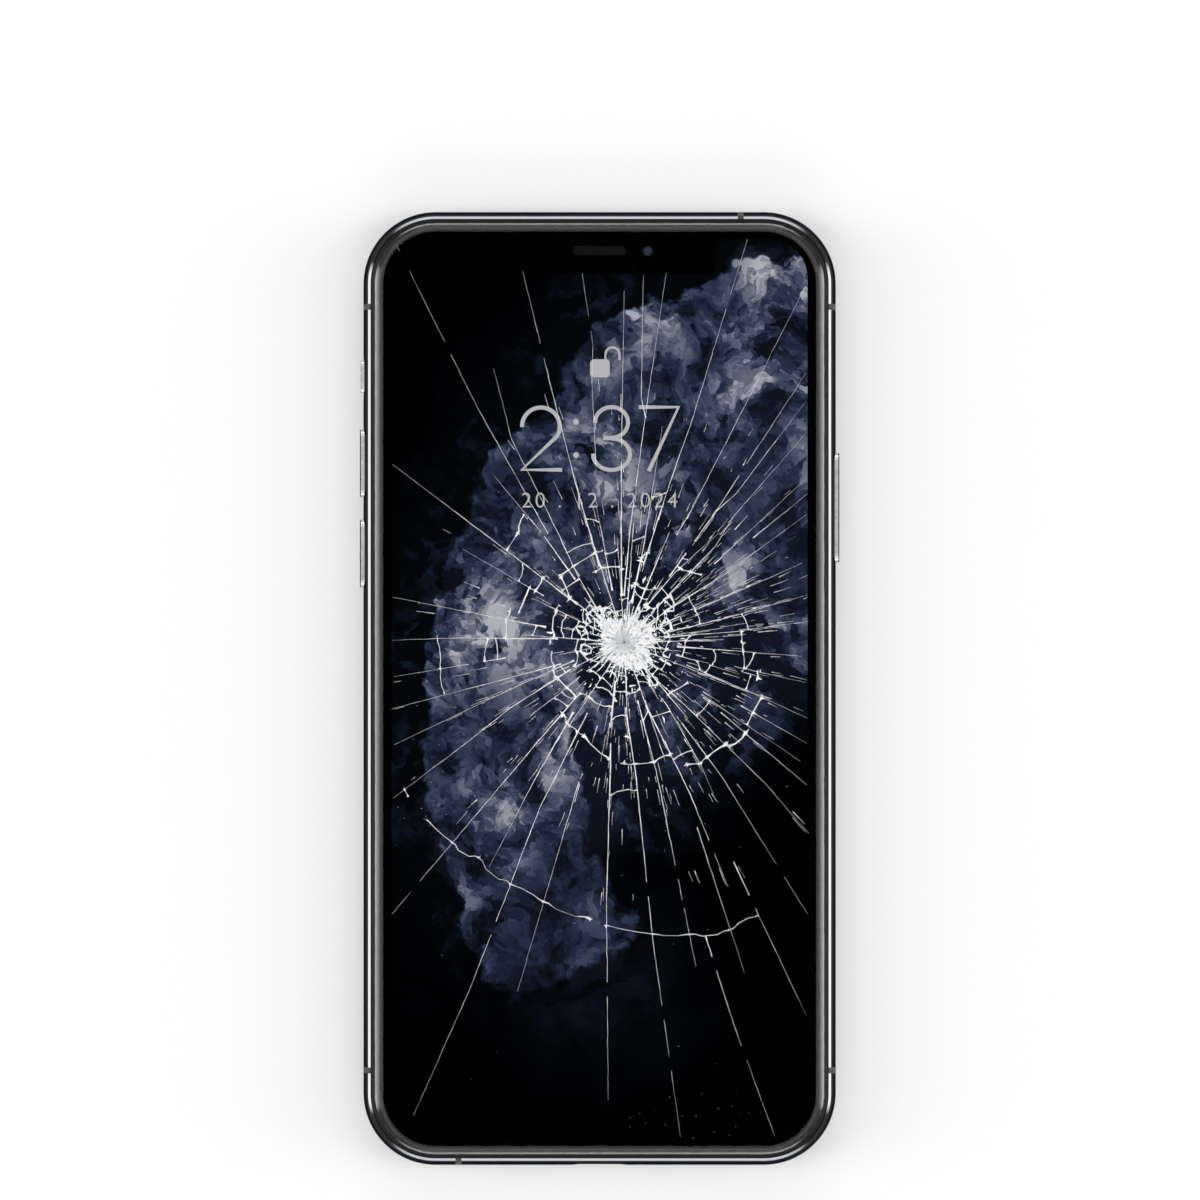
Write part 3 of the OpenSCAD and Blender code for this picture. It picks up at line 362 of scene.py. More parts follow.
def wound_copper_finish():
    """Enamelled copper wire wound flat about the coil's middle, one turn each 0.6 mm."""
    material, tree, shader = finish("enamelled_copper", "#a65e35", 0.3, 0.9)
    turns = add(tree, "TexWave", {"Vector": in_mm(tree), "Scale": 0.5, "Distortion": 0.2},
                wave_type="RINGS", rings_direction="Z").outputs["Fac"]
    # Painted shade and highlight: the colour darkens in the grooves between the turns and lightens on their
    # round tops.
    tone = add(tree, "Mix", {0: turns, 6: linear("#5d2f18"), 7: linear("#c0764a")}, data_type="RGBA")
    relief = add(tree, "Bump", {"Height": turns, "Strength": 0.5, "Distance": 0.05 * MM})
    feed(shader, {"Base Color": tone, "Normal": relief})
    return material


MODULE_PLASTIC = grained("moulded_module", "#0c0d0f", "#1a1b1e", 0.4, (0.4, 0.55), bump=0.004)
GOLD = grained("gold_plate", "#b98e3e", "#d8b25e", 0.6, (0.18, 0.28), 1.0)
# Black-oxide screws, faintly bright where the driver rubs.
SCREW_STEEL = grained("blackened_screw_steel", "#2c2d2f", "#47484b", 0.15, (0.25, 0.4), 1.0)
# Lens coating over a dark barrel: nearly black, with a violet-blue sheen.
PUPIL = grained("coated_lens_element", "#0a0d1c", "#15204a", 0.8, (0.03, 0.06), IOR=1.6, Coat_Weight=1.0,
                Coat_Roughness=0.03, Coat_Tint=linear("#8f9cff"))
# Printed straight on the glass, so it has no gloss of its own.
SCREEN_INK = grained("screen_ink", "#010101", "#030303", 0.6, (0.45, 0.6), Specular_IOR_Level=0.0)
LIT_WHITE = lit_mark_finish()
FRACTURE = broken_glass_finish()

SLOT_FINISHES = {
    "band_steel": dark_steel_finish(),
    # The same coat on the keys: faces blasted a little duller, with a painted highlight on the sides and a
    # painted shade line at the outer lip.
    "button_steel": paint_side_highlight(grained("coated_stainless_key", "#5c5d60", "#67686b", 0.5, (0.2, 0.28), 1.0,
                                       bump=0.001), "X", "#f4f4f5", "#0c0d0e", 36.04),
    # Glass-filled nylon moulded into the breaks: duller than the steel, faintly speckled.
    "break_plastic": grained("moulded_nylon", "#2b2c2e", "#38393c", 0.3, (0.42, 0.55), bump=0.004),
    "cover_glass": cover_glass_finish(),
    # Back glass etched to a satin face over dark ink: soft wide highlights.
    "back_glass": grained("etched_glass", "#2c2d30", "#303134", 0.35, (0.3, 0.36), bump=0.0015, IOR=1.5,
                          Coat_Weight=0.3, Coat_Roughness=0.3),
    # Black moulded frame round the glass, with a fine spark-eroded grain.
    "bezel_plastic": grained("moulded_polycarbonate", "#08090a", "#111214", 0.25, (0.45, 0.6), bump=0.003,
                             Specular_IOR_Level=0.25),
    "display": display_finish(),
    # Stamped stainless sheet, rolled one way and left bright.
    "sheet_steel": grained("rolled_stainless", "#a2a3a6", "#bcbdc0", 1.2, (0.25, 0.36), 1.0,
                           stretch=(0.15, 1, 1)),
    "gasket": grained("black_foam_tape", "#0b0b0c", "#17181a", 0.2, (0.7, 0.85), bump=0.01),
    "flex": grained("polyimide_flex", "#5f3a14", "#8a5a24", 2.0, (0.3, 0.42)),
    "board": circuit_board_finish(),
    "module_plastic": MODULE_PLASTIC,
    "mesh": woven_mesh_finish(),
    "lens_glass": optic_glass_finish("coated_optic", "#b9c8f2"),
    "coil_copper": wound_copper_finish(),
    "ferrite": grained("pressed_ferrite", "#26272a", "#34363a", 0.5, (0.6, 0.75), bump=0.004),
    # Diffusing lens over the flash: pale yellow phosphor under a pebbled moulding.
    "flash_cover": grained("pebbled_acrylic", "#d9c777", "#efe6b8", 0.35, (0.12, 0.2), bump=0.02),
    "battery_wrap": grained("laminated_foil", "#0e0f11", "#1b1c20", 3.0, (0.28, 0.4), bump=0.02),
    "gold_contact": GOLD,
    "motor_case": grained("drawn_steel", "#8d8f93", "#a8aaae", 0.8, (0.22, 0.3), 1.0, stretch=(1, 0.2, 1)),
}
# Nodes that differ from their slot. The pane over the rear cameras is smoked, and hides their barrels.
OWN_FINISHES = {
    "sim_card": sim_card_finish(22.5, 2.0),
    "end_screws": SCREW_STEEL,
    "camera_pane": optic_glass_finish("smoked_window_glass", "#a0a5b2", "#aab0bd"),
}


def dress_cad_nodes():
    """Gives each CAD node its own finish, or else that of its slot in the record."""
    for part in frame["record"]["subparts"]:
        name = part["node"]
        for slot in frame["nodes"][name].material_slots:
            slot.material = OWN_FINISHES.get(name) or SLOT_FINISHES[part["material_slot"]]


# ---------------------------------------------------------------- shaping

def select_only(piece):
    bpy.ops.object.select_all(action="DESELECT")
    piece.select_set(True)
    bpy.context.view_layer.objects.active = piece


def new_object(name, data):
    piece = bpy.data.objects.new(name, data)
    bpy.context.scene.collection.objects.link(piece)
    return piece


def as_mesh(piece):
    select_only(piece)
    bpy.ops.object.convert(target="MESH")
    return bpy.context.view_layer.objects.active


def settle(piece, material):
    """Applies a piece's place, and gives it its finish and a seat on the handset."""
    select_only(piece)
    bpy.ops.object.transform_apply(location=True, rotation=True, scale=True)
    piece.data.materials.clear()
    piece.data.materials.append(material)
    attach(piece, "handset")


def curve_piece(name, lines, flat=False, thick=0.0):
    """Lines of (x, y, z, half width) in millimetres as one mesh; flat fills closed outlines instead."""
    curve = bpy.data.curves.new(name, "CURVE")
    curve.dimensions = "2D" if flat else "3D"
    if flat:
        curve.fill_mode = "BOTH"
        curve.extrude = thick / 2 * MM
    else:
        curve.bevel_depth = MM
        curve.bevel_resolution = 0
        curve.use_fill_caps = True
        curve.twist_mode = "Z_UP"
    for line in lines:
        spline = curve.splines.new("POLY")
        spline.points.add(len(line) - 1)
        spline.use_cyclic_u = flat
        for point, (x, y, z, half) in zip(spline.points, line):
            point.co = (x * MM, y * MM, z * MM, 1)
            point.radius = half
    return as_mesh(new_object(name, curve))


def mesh_piece(name, vertices, faces):
    mesh = bpy.data.meshes.new(name)
    mesh.from_pydata(vertices, [], faces)
    return new_object(name, mesh)


def prism(vertices, faces, outline, low, high):
    """Adds a closed prism over an outline of (x, y) to the lists of a mesh, in millimetres."""
    start = len(vertices)
    count = len(outline)
    for z in (low, high):
        vertices += [(x * MM, y * MM, z * MM) for x, y in outline]
    faces.append([start + k for k in range(count)][::-1])
    faces.append([start + count + k for k in range(count)])
    for k in range(count):
        after = (k + 1) % count
        faces.append([start + k, start + after, start + count + after, start + count + k])


def flatten(piece, z, factor):
    """Scales a piece's height about the level z, in millimetres."""
    level = Matrix.Translation((0, 0, z * MM))
    piece.data.transform(level @ Matrix.Diagonal((1, 1, factor, 1)) @ level.inverted())


def around(x, y, turn, reach):
    """The point at a turn in radians and a reach in millimetres from (x, y)."""
    return x + reach * math.cos(turn), y + reach * math.sin(turn)


def rounded_outline(half_w, half_l, corner, steps=16):
    """Points of a rectangle with round corners, counter-clockwise from the right of the foot."""
    points = []
    for turn, (sx, sy) in enumerate([(1, -1), (1, 1), (-1, 1), (-1, -1)]):
        for step in range(steps + 1):
            angle = math.radians(90 * (turn - 1) + 90 * step / steps)
            points.append(around(sx * (half_w - corner), sy * (half_l - corner), angle, corner))
    return points


def ring_of(x, y, radius, steps=32):
    return [around(x, y, 2 * math.pi * k / steps, radius) for k in range(steps)]


def arc_points(x, y, radius, first, last, squash=1.0, steps=18):
    """Points of an arc between two bearings in degrees, squashed in height."""
    turns = [math.radians(first + (last - first) * k / steps) for k in range(steps + 1)]
    return [(x + radius * math.cos(turn), y + squash * radius * math.sin(turn)) for turn in turns]


def at_height(points, z, half=1):
    return [(x, y, z, half) for x, y in points]


# ---------------------------------------------------------------- display and its surround

ACTIVE_W = 31.35
ACTIVE_L = 67.8
NOTCH_HALF = 17.3
NOTCH_Y = 62.5
# Level of the marks that the panel lights, just clear of its face.
MARK_Z = PANEL_TOP + 0.012


def lit_area():
    """Outline of the lit picture: round corners, and the notch let into the top."""
    outline = rounded_outline(ACTIVE_W, ACTIVE_L, 5.9)
    flare = [(NOTCH_HALF + out, ACTIVE_L - down) for out, down in ((0.9, 0), (0.3, 0.25), (0, 0.9))]
    foot = arc_points(NOTCH_HALF - 0.3, NOTCH_Y + 0.3, 0.3, 0, -90, steps=3)
    right = flare + foot
    left = [(-x, y) for x, y in right[::-1]]
    # The outline runs up the right side, along the top to the left, and down.
    top = [point for point in outline if point[1] > ACTIVE_L - 0.01]
    turn = outline.index(min(top, key=lambda point: abs(point[0] + 25.45)))
    return outline[:turn] + right + left + outline[turn:]


def make_ink_border():
    """Black ink printed on the underside of the glass, open over the picture, earpiece and camera."""
    rim = rounded_outline(HALF_W - 1.95, HALF_L - 1.95, CORNER - 1.95)
    camera_hole = ring_of(*FRONT_CAMERA, 0.75)
    slot_hole = [(x, y + FRONT_CAMERA[1]) for x, y in rounded_outline(4.025, 0.7, 0.7, 8)]
    outlines = [at_height(line, PANEL_TOP + 0.025) for line in (rim, lit_area(), camera_hole, slot_hole)]
    settle(curve_piece("ink_border", outlines, flat=True, thick=0.03), SCREEN_INK)


def make_strokes(name, lines, half, factor):
    """Marks drawn in even strokes on the lit panel, pressed flat."""
    strokes = curve_piece(name, [at_height(line, MARK_Z, half) for line in lines])
    flatten(strokes, MARK_Z, factor)
    settle(strokes, LIT_WHITE)


def make_spots(name, outlines):
    """Filled marks on the lit panel."""
    spots = curve_piece(name, [at_height(line, MARK_Z) for line in outlines], flat=True, thick=0.01)
    settle(spots, LIT_WHITE)


def make_clock():
    """Thin numerals of the lock screen, each drawn in even strokes, and the round colon."""
    top, foot = 42.45, 33.0
    two = arc_points(-8.85, 39.55, 2.85, 182, -32) + [(-11.75, foot), (-5.65, foot)]
    upper = arc_points(1.8, 40.15, 2.5, 182, -90, 0.93)
    lower = arc_points(1.8, 35.35, 2.8, 90, -182, 0.85)
    bar = [(0.55, 37.78), (1.9, 37.78)]
    seven = [(5.9, top), (11.9, top), (7.4, foot - 0.2)]
    make_strokes("clock_numerals", (two, upper, lower, bar, seven), 0.3, 0.03)
    make_spots("clock_colon", [ring_of(-3.57, y, 0.44, 20) for y in (40.25, 35.2)])


def make_padlock():
    """Open padlock above the clock: a rounded body, and a shackle swung clear of it."""
    body = [(x + 0.05, y + 48.3) for x, y in rounded_outline(1.48, 1.36, 0.6, 6)]
    make_spots("padlock_body", [body])
    hoop = [(0.88, 49.5), (0.88, 50.4)] + arc_points(1.95, 50.4, 1.05, 180, 0) + [(3.0, 49.55)]
    make_strokes("padlock_shackle", [hoop], 0.17, 0.06)


def make_date():
    """The date in plain numbers under the clock."""
    text = bpy.data.curves.new("date_numerals", "FONT")
    text.body = "20 . 12 . 2024"
    text.size = 3.3 * MM
    text.align_x = "CENTER"
    text.extrude = 0.004 * MM
    text.offset = -0.025 * MM
    text.space_character = 1.25
    date = as_mesh(new_object("date_numerals", text))
    date.location = (0, 27.3 * MM, MARK_Z * MM)
    settle(date, LIT_WHITE)


# ---------------------------------------------------------------- cracks

# Each long crack: (bearing in degrees, radius in millimetres) about the blow, from the middle out.
LONG_CRACKS = [
    [(7, 6), (5.5, 17), (6.5, 28)], [(13, 7), (13.5, 17), (14.5, 28.5)], [(26, 6), (24, 16), (24, 30.5)],
    [(37, 8), (34, 18), (35, 33.5)], [(39, 25), (39, 35.5)], [(41, 18), (42, 37)],
    [(47, 6), (46.5, 20), (49, 25), (49, 42)], [(59, 6), (54, 13), (49, 22)],
    [(55.5, 12), (55, 24), (56, 50)], [(55, 24), (53, 28), (53, 45.5)], [(64, 18), (63, 23), (63, 60)],
    [(76, 12), (74, 25), (73, 35), (73, 63.5)], [(79, 6), (78.5, 15), (80, 33)],
    [(90, 7), (87, 17), (85, 30), (84.5, 36), (83.5, 56)], [(84.5, 34), (86, 37), (87, 55.5)],
    [(93, 7), (91.5, 17), (91, 25), (90, 53)], [(99, 27), (97, 40), (96, 45), (96.5, 56)],
    [(103, 8), (101.5, 21)], [(108, 12), (107, 25), (106, 40), (105.3, 58)],
    [(130, 6), (125, 12), (121, 20), (119, 35), (115.5, 45.7)], [(125, 20), (122, 42), (119.8, 69)],
    [(128, 12), (127, 20), (128, 32)], [(141, 9), (142, 22), (142.5, 44)], [(150, 14), (150, 28)],
    [(169, 12), (169, 35.5)], [(177, 10), (178.5, 25), (179.5, 35)], [(187.5, 18), (188.5, 35)],
    [(199, 10), (197, 20), (196, 36.5)], [(200, 8), (202, 16), (204, 38)],
    [(207, 9), (210, 20), (212.5, 28), (214, 42)], [(229, 10), (229, 18), (229.5, 55)],
    [(234, 13), (237, 25), (239, 39.5)], [(242.5, 12), (243, 28), (245, 42), (246, 57), (246, 78)],
    [(252, 22), (253, 55)], [(257, 6), (261, 13), (264, 20), (266, 38), (268, 69)],
    [(272, 11), (275, 20), (275.5, 45), (276.5, 75)], [(283, 9), (284, 20), (282.5, 50)],
    [(285.5, 46), (286, 60), (287, 79)], [(289, 10), (292, 16), (293.5, 25), (293, 40)],
    [(291.5, 30), (290, 53)], [(296.5, 37), (296, 62.5)], [(305, 6), (304, 12), (302, 22), (300.5, 26.5)],
    [(305.5, 15), (306, 25), (304, 49.5)], [(310, 7), (314, 13), (315, 30), (314, 40)],
    [(324, 18), (322, 35)], [(326, 14), (326, 32)], [(331.5, 20), (331, 31.5)],
    [(340, 10), (338.5, 20), (337.5, 30)], [(346.5, 8), (344.5, 18)], [(347.7, 17), (347.5, 28)],
    [(355.5, 8), (355.5, 28)],
]
# Each ring crack: radius and bearing at its start, then at its end.
RING_CRACKS = [
    (11, 187, 11, 229), (11, 91, 11.5, 112), (14.2, 103, 14, 134), (13.7, 134, 10.5, 141),
    (15.5, 141, 15.5, 151), (16.5, 150, 16.5, 164), (17.8, 165, 17.8, 178), (11.2, 150, 11.2, 180),
    (20.5, 178, 21.3, 188), (28.2, 178, 28.2, 196), (24.5, 128, 23, 134), (23, 134, 22.5, 142),
    (14.2, 230, 15.3, 246), (15.3, 246, 18.3, 270), (18.3, 270, 19, 297), (40.4, 208, 40, 215.5),
    (40, 222, 39.2, 236), (39.2, 236, 42, 263), (42, 263, 46.2, 290), (46.2, 290, 45.8, 296),
    (20.7, 297, 21.7, 315), (22.3, 315, 22.3, 338), (19.7, 339, 19.7, 345), (18.3, 346, 18, 360),
    (20.8, 345, 21, 348), (17.7, 0, 17.7, 5), (15.5, 41, 14, 53), (13, 79, 14, 74),
    (7.2, 24, 8.8, 44), (9.5, 60, 8.6, 82), (7.6, 236, 9, 262), (10.5, 302, 11.4, 328), (9, 346, 10, 366),
]
# Loops of crack that ring small cells round the crushed glass: bearing, distance and radius.
LOOPS = [(137, 5.8, 1.1), (164, 6.6, 0.8), (22, 6.8, 1.0), (306, 7.2, 0.7), (345, 6.6, 0.6), (41, 8.8, 1.0),
         (190, 5.9, 0.8), (62, 6.0, 0.7), (118, 5.4, 0.7)]
# How far the crushed glass reaches from the blow: bearing and radius.
CRUSHED = [(0, 4.7), (28, 5.1), (50, 3.8), (80, 3.3), (110, 3.7), (135, 4.9), (155, 3.8), (185, 3.3),
           (230, 3.5), (270, 3.8), (300, 4.9), (318, 5.2), (340, 4.1), (360, 4.7)]
# Where the fine splinters lie thickest: first and last bearing, and how many.
SPLINTERS = [(0, 30, 120), (30, 62, 100), (62, 112, 100), (112, 165, 36), (165, 200, 16), (200, 250, 66),
             (250, 300, 110), (300, 335, 70), (335, 360, 40)]
# Short links between spokes: distance from the blow, share of the gaps that have one, and width.
WEB_ROWS = [(5.4, 0.66, 0.8), (6.6, 0.5, 0.8), (7.6, 0.36, 0.7), (10, 0.22, 0.5), (11.8, 0.2, 0.5),
            (13.5, 0.16, 0.5), (16, 0.12, 0.4), (19, 0.1, 0.4), (23, 0.05, 0.3)]
# Powder thrown over the screen: middle, spread across and along, and how many grains.
POWDER = [(17, -66, 8, 2.8, 34), (-27, -14, 4, 9, 30), (4, 4, 18, 26, 90)]
# Cracks stop where the picture does. They swell 0.3 of their half width: their edges are nearly flush.
LIMIT_W = ACTIVE_W + 0.2
LIMIT_L = ACTIVE_L + 0.2
SWELL = 0.3
CRACK_Z = GLASS_TOP + 0.003
CREST_Z = GLASS_TOP + 0.05


def polar(bearing, radius):
    """The point at a bearing in degrees and a radius from the blow."""
    return around(BLOW.x, BLOW.y, math.radians(bearing), radius)


def bearing_at(route, radius):
    """The bearing of a crack at a radius, or None where it doesn't run."""
    for (b0, r0), (b1, r1) in zip(route, route[1:]):
        if r0 <= radius <= r1:
            return b0 + (b1 - b0) * (radius - r0) / (r1 - r0)
    return None


def crack_line(chance, route, width, end_width, gaps=0.0, wander=0.02, step=1.1):
    """Splits a route of (bearing, radius) into ragged runs of (x, y, z, half width)."""
    corners = [polar(b, r) for b, r in route]
    runs = [[]]
    length = sum(math.dist(a, b) for a, b in zip(corners, corners[1:]))
    gone = 0.0
    for (ax, ay), (bx, by) in zip(corners, corners[1:]):
        span = math.dist((ax, ay), (bx, by))
        count = max(2, round(span / step))
        for k in range(count + 1):
            along = k / count
            share = (gone + span * along) / length
            half = (width + (end_width - width) * share ** 0.3) / 2 * chance.uniform(0.6, 1.4)
            side = chance.gauss(0, wander) if 0 < k < count else 0
            x = ax + (bx - ax) * along - (by - ay) / span * side
            y = ay + (by - ay) * along + (bx - ax) / span * side
            if abs(x) > LIMIT_W or abs(y) > LIMIT_L:
                continue
            if chance.random() < gaps and 0 < k < count:
                runs.append([])
                continue
            runs[-1].append((x, y, CRACK_Z, half))
        gone += span
    return [run for run in runs if len(run) > 1]


def link(chance, first, last, thin, thick):
    """A crack between two points of (bearing, radius), webbed where it meets its neighbours."""
    (ax, ay), (bx, by) = polar(*first), polar(*last)
    span = math.dist((ax, ay), (bx, by)) + 0.01
    bow = chance.gauss(0, 0.05) * span
    mid = (thin + thick) / 2.6
    line = []
    for share, width in ((0, thick), (0.12, mid), (0.3, thin), (0.7, thin), (0.88, mid), (1, thick)):
        half = width * chance.uniform(0.7, 1.3) / 2
        aside = bow if 0.2 < share < 0.8 else 0
        x = ax + (bx - ax) * share - aside * (by - ay) / span
        y = ay + (by - ay) * share + aside * (bx - ax) / span
        line.append((x, y, CRACK_Z, half))
    inside = all(abs(x) < LIMIT_W and abs(y) < LIMIT_L for x, y, z, half in line)
    return [line] if inside else []


def ring_stops(chance, spokes, ring):
    """Where a ring crack crosses the spokes, with its ends: (bearing, radius) in order."""
    radius, first, end_radius, last = ring
    stops = [(first, radius), (last, end_radius)]
    for spoke in spokes:
        for turn in (0, 360):
            share = 0.5
            for _ in range(3):
                at = radius + (end_radius - radius) * share
                bearing = bearing_at(spoke, at)
                if bearing is None:
                    break
                share = (bearing + turn - first) / (last - first)
            if bearing is not None and 0.04 < share < 0.96:
                jag = 0.65 if radius < 25 else 0.3
                stops.append((bearing + turn, at + chance.uniform(-jag, jag)))
    return sorted(stops)


def ring_lines(chance, stops, near):
    """The ragged links of one ring crack, thinner far from the blow."""
    lines = []
    for a, b in zip(stops, stops[1:]):
        if b[0] - a[0] > 0.6 and chance.random() < 0.95:
            thick = chance.uniform(0.3, 0.7) if near else chance.uniform(0.12, 0.4)
            lines += link(chance, a, b, chance.uniform(0.08, 0.2) * (1.0 if near else 0.5), thick)
    return lines


def web_lines(chance, spokes):
    """Short links between neighbouring spokes, thickest on the ground close to the blow."""
    lines = []
    for radius, share, thick in WEB_ROWS:
        crossing = [bearing_at(spoke, radius) for spoke in spokes]
        crossing = sorted(b % 360 for b in crossing if b is not None)
        for b0, b1 in zip(crossing, crossing[1:] + crossing[:1]):
            gap = (b1 - b0) % 360
            if gap < 3 or gap > 24 or chance.random() > share:
                continue
            slip = chance.uniform(-0.9, 0.9)
            lines += link(chance, (b0, radius + chance.uniform(-0.5, 0.5)), (b0 + gap, radius + slip),
                          0.12, thick * chance.uniform(0.4, 1.0))
    return lines


def loop_lines(chance):
    """The ragged loops of crack close round the crushed glass."""
    lines = []
    for bearing, distance, size in LOOPS:
        x, y = polar(bearing, distance)
        start = chance.uniform(0, 360)
        loop = []
        for k in range(chance.choice((5, 6, 7))):
            turn = math.radians(start + 60 * k + chance.uniform(-16, 16))
            spot = around(x, y, turn, size * chance.uniform(0.6, 1.4))
            loop.append((*spot, CRACK_Z, chance.choice((0.07, 0.12, 0.2, 0.35))))
        lines.append(loop)
    return lines


def short_spokes(chance):
    """Routes of the short cracks that fan out from the blow, some as thick as fingers at the root."""
    routes = []
    for number in range(30):
        bearing = 12 * number + chance.uniform(-4, 4)
        end = chance.choice((6.5, 7.5, 9, 10, 12, 15, 18, 21))
        routes.append([(bearing, 3.2), (bearing + chance.uniform(-2, 2), end)])
    return routes


def splinter_lines(chance, spokes):
    """Fine straight splinters in bundles beside the long cracks."""
    lines = []
    for first, last, count in SPLINTERS:
        for _ in range(count):
            start = chance.uniform(7.5, 24) if chance.random() < 0.85 else chance.uniform(24, 40)
            bearing = chance.uniform(first, last)
            beside = [b % 360 for b in (bearing_at(spoke, start) for spoke in spokes) if b is not None]
            off = min(beside, key=lambda b: abs(b - bearing), default=bearing) - bearing
            bearing += chance.choice((0.0, 0.7)) * off if abs(off) < 8 else 0
            tip = (bearing + chance.uniform(-0.3, 0.3), start + chance.uniform(0.4, 3.0))
            lines += crack_line(chance, [(bearing, start), tip], chance.uniform(0.03, 0.12), 0.03, step=1.4)
    return lines


def ray_lines(chance):
    """White rays where the crushed patch tears outwards."""
    lines = []
    for _ in range(28):
        bearing = chance.uniform(0, 360)
        root = 0.8 * crushed_reach(bearing)
        route = [(bearing, root), (bearing + chance.uniform(-3, 3), root + chance.uniform(1.2, 3.6))]
        lines += crack_line(chance, route, chance.uniform(0.5, 1.1), 0.08, wander=0.04, step=0.5)
    return lines


def make_cracks():
    """The web of cracks: long ones, rings that tie them together, and short ones about the blow."""
    chance = random.Random(11)
    lines = []
    for route in LONG_CRACKS:
        width = chance.uniform(0.2, 0.4) if route[0][1] < 14 else chance.uniform(0.1, 0.18)
        lines += crack_line(chance, route, width, 0.02, gaps=0.025)
    short = short_spokes(chance)
    for route in short:
        width = chance.choice((0.16, 0.24, 0.36, 0.6))
        lines += crack_line(chance, route, width, 0.05, gaps=0.02, step=0.9)
    spokes = LONG_CRACKS + short
    knots = []
    for ring in RING_CRACKS:
        stops = ring_stops(chance, spokes, ring)
        knots += stops
        lines += ring_lines(chance, stops, near=ring[0] < 25)
    lines += web_lines(chance, spokes)
    lines += loop_lines(chance)
    lines += splinter_lines(chance, spokes)
    lines += ray_lines(chance)
    web = curve_piece("crack_web", lines)
    flatten(web, CRACK_Z, SWELL)
    for point in web.data.vertices:
        point.co.z = min(point.co.z, CREST_Z * MM)
    settle(web, FRACTURE)
    make_gussets(knots)


def make_gussets(knots):
    """Webbed corners of white where ring cracks cross the long ones."""
    chance = random.Random(21)
    vertices, faces = [], []
    for bearing, radius in knots:
        x, y = polar(bearing, radius)
        if abs(x) > ACTIVE_W - 1 or abs(y) > ACTIVE_L - 1 or chance.random() < 0.5:
            continue
        # Two arms lie along the ring and one along the long crack, with hollow sides between them.
        size = chance.uniform(0.25, 0.7) * (1.0 if radius < 25 else 0.7)
        start = math.radians(bearing + chance.choice((0, 180)))
        outline = []
        for turn, reach in ((0, 0.9), (45, 0.34), (90, 1.1), (150, 0.2), (210, 0.2), (270, 1.1), (315, 0.34)):
            reach *= size * chance.uniform(0.7, 1.3)
            outline.append(around(x, y, start + math.radians(turn + chance.uniform(-8, 8)), reach))
        prism(vertices, faces, outline, GLASS_TOP - 0.05, GLASS_TOP + 0.02)
    settle(mesh_piece("crack_gussets", vertices, faces), FRACTURE)


def make_chips():
    """Slivers of glass lifted close to the blow, and powder thrown over the screen."""
    chance = random.Random(21)
    vertices, faces = [], []
    for _ in range(60):
        bearing = chance.uniform(0, 360)
        radius = crushed_reach(bearing) + chance.expovariate(0.4)
        x, y = polar(bearing, radius)
        size = chance.uniform(0.2, 0.7)
        turn = math.radians(bearing + chance.choice((0, 0, 90)) + chance.uniform(-15, 15))
        outline = []
        for k in range(chance.choice((3, 4))):
            angle = 2 * math.pi * k / 3.5 + chance.uniform(-0.4, 0.4)
            along, across = size * math.cos(angle), 0.35 * size * math.sin(angle)
            outline.append((x + along * math.cos(turn) - across * math.sin(turn),
                            y + along * math.sin(turn) + across * math.cos(turn)))
        prism(vertices, faces, outline, GLASS_TOP - 0.1, GLASS_TOP + 0.014)
    for x, y, spread_x, spread_y, count in POWDER:
        for _ in range(count):
            px = x + chance.gauss(0, spread_x)
            py = y + chance.gauss(0, spread_y)
            if abs(px) > ACTIVE_W or abs(py) > ACTIVE_L:
                continue
            size = chance.uniform(0.03, 0.07)
            outline = [around(px, py, turn, size) for turn in (0.3, 2.2, 4.4)]
            prism(vertices, faces, outline, GLASS_TOP - 0.02, GLASS_TOP + 0.02)
    settle(mesh_piece("glass_chips", vertices, faces), FRACTURE)


def crushed_reach(bearing):
    """How far the crushed glass reaches from the blow on a bearing, in millimetres."""
    bearing %= 360
    for (b0, r0), (b1, r1) in zip(CRUSHED, CRUSHED[1:]):
        if b0 <= bearing <= b1:
            return r0 + (r1 - r0) * (bearing - b0) / (b1 - b0)
    return CRUSHED[0][1]


def make_crushed_bed(chance):
    """The ragged bed of crushed glass: it lies in the hollow, and climbs on to the face beyond it."""
    vertices, faces = [], []
    rings, spokes = 18, 96
    for ring in range(rings + 1):
        share = ring / rings
        for spoke in range(spokes):
            bearing = 360 * (spoke + chance.uniform(-0.35, 0.35)) / spokes
            edge = 0.95 * crushed_reach(bearing) + chance.uniform(-0.45, 0.25)
            radius = 0.12 + (edge - 0.12) * share
            pit = 0.2 * max(0.0, 1 - radius / 0.6)
            climb = 0.066 * min(1.0, max(0.0, radius / 0.4 - 9.5))
            rise = chance.uniform(0.0, 0.05) * (1 - share ** 4)
            x, y = polar(bearing, radius)
            vertices.append((x * MM, y * MM, (GLASS_TOP + (-0.06 - pit + climb) + rise) * MM))
    for ring in range(rings):
        for spoke in range(spokes):
            after = (spoke + 1) % spokes
            a, b = ring * spokes + spoke, ring * spokes + after
            faces.append([a, a + spokes, b + spokes, b])
    bed = mesh_piece("crushed_glass", vertices, faces)
    select_only(bed)
    thick = bed.modifiers.new("bed", "SOLIDIFY")
    thick.thickness = 0.012 * MM
    thick.offset = -1
    bpy.ops.object.modifier_apply(modifier="bed")
    settle(bed, FRACTURE)


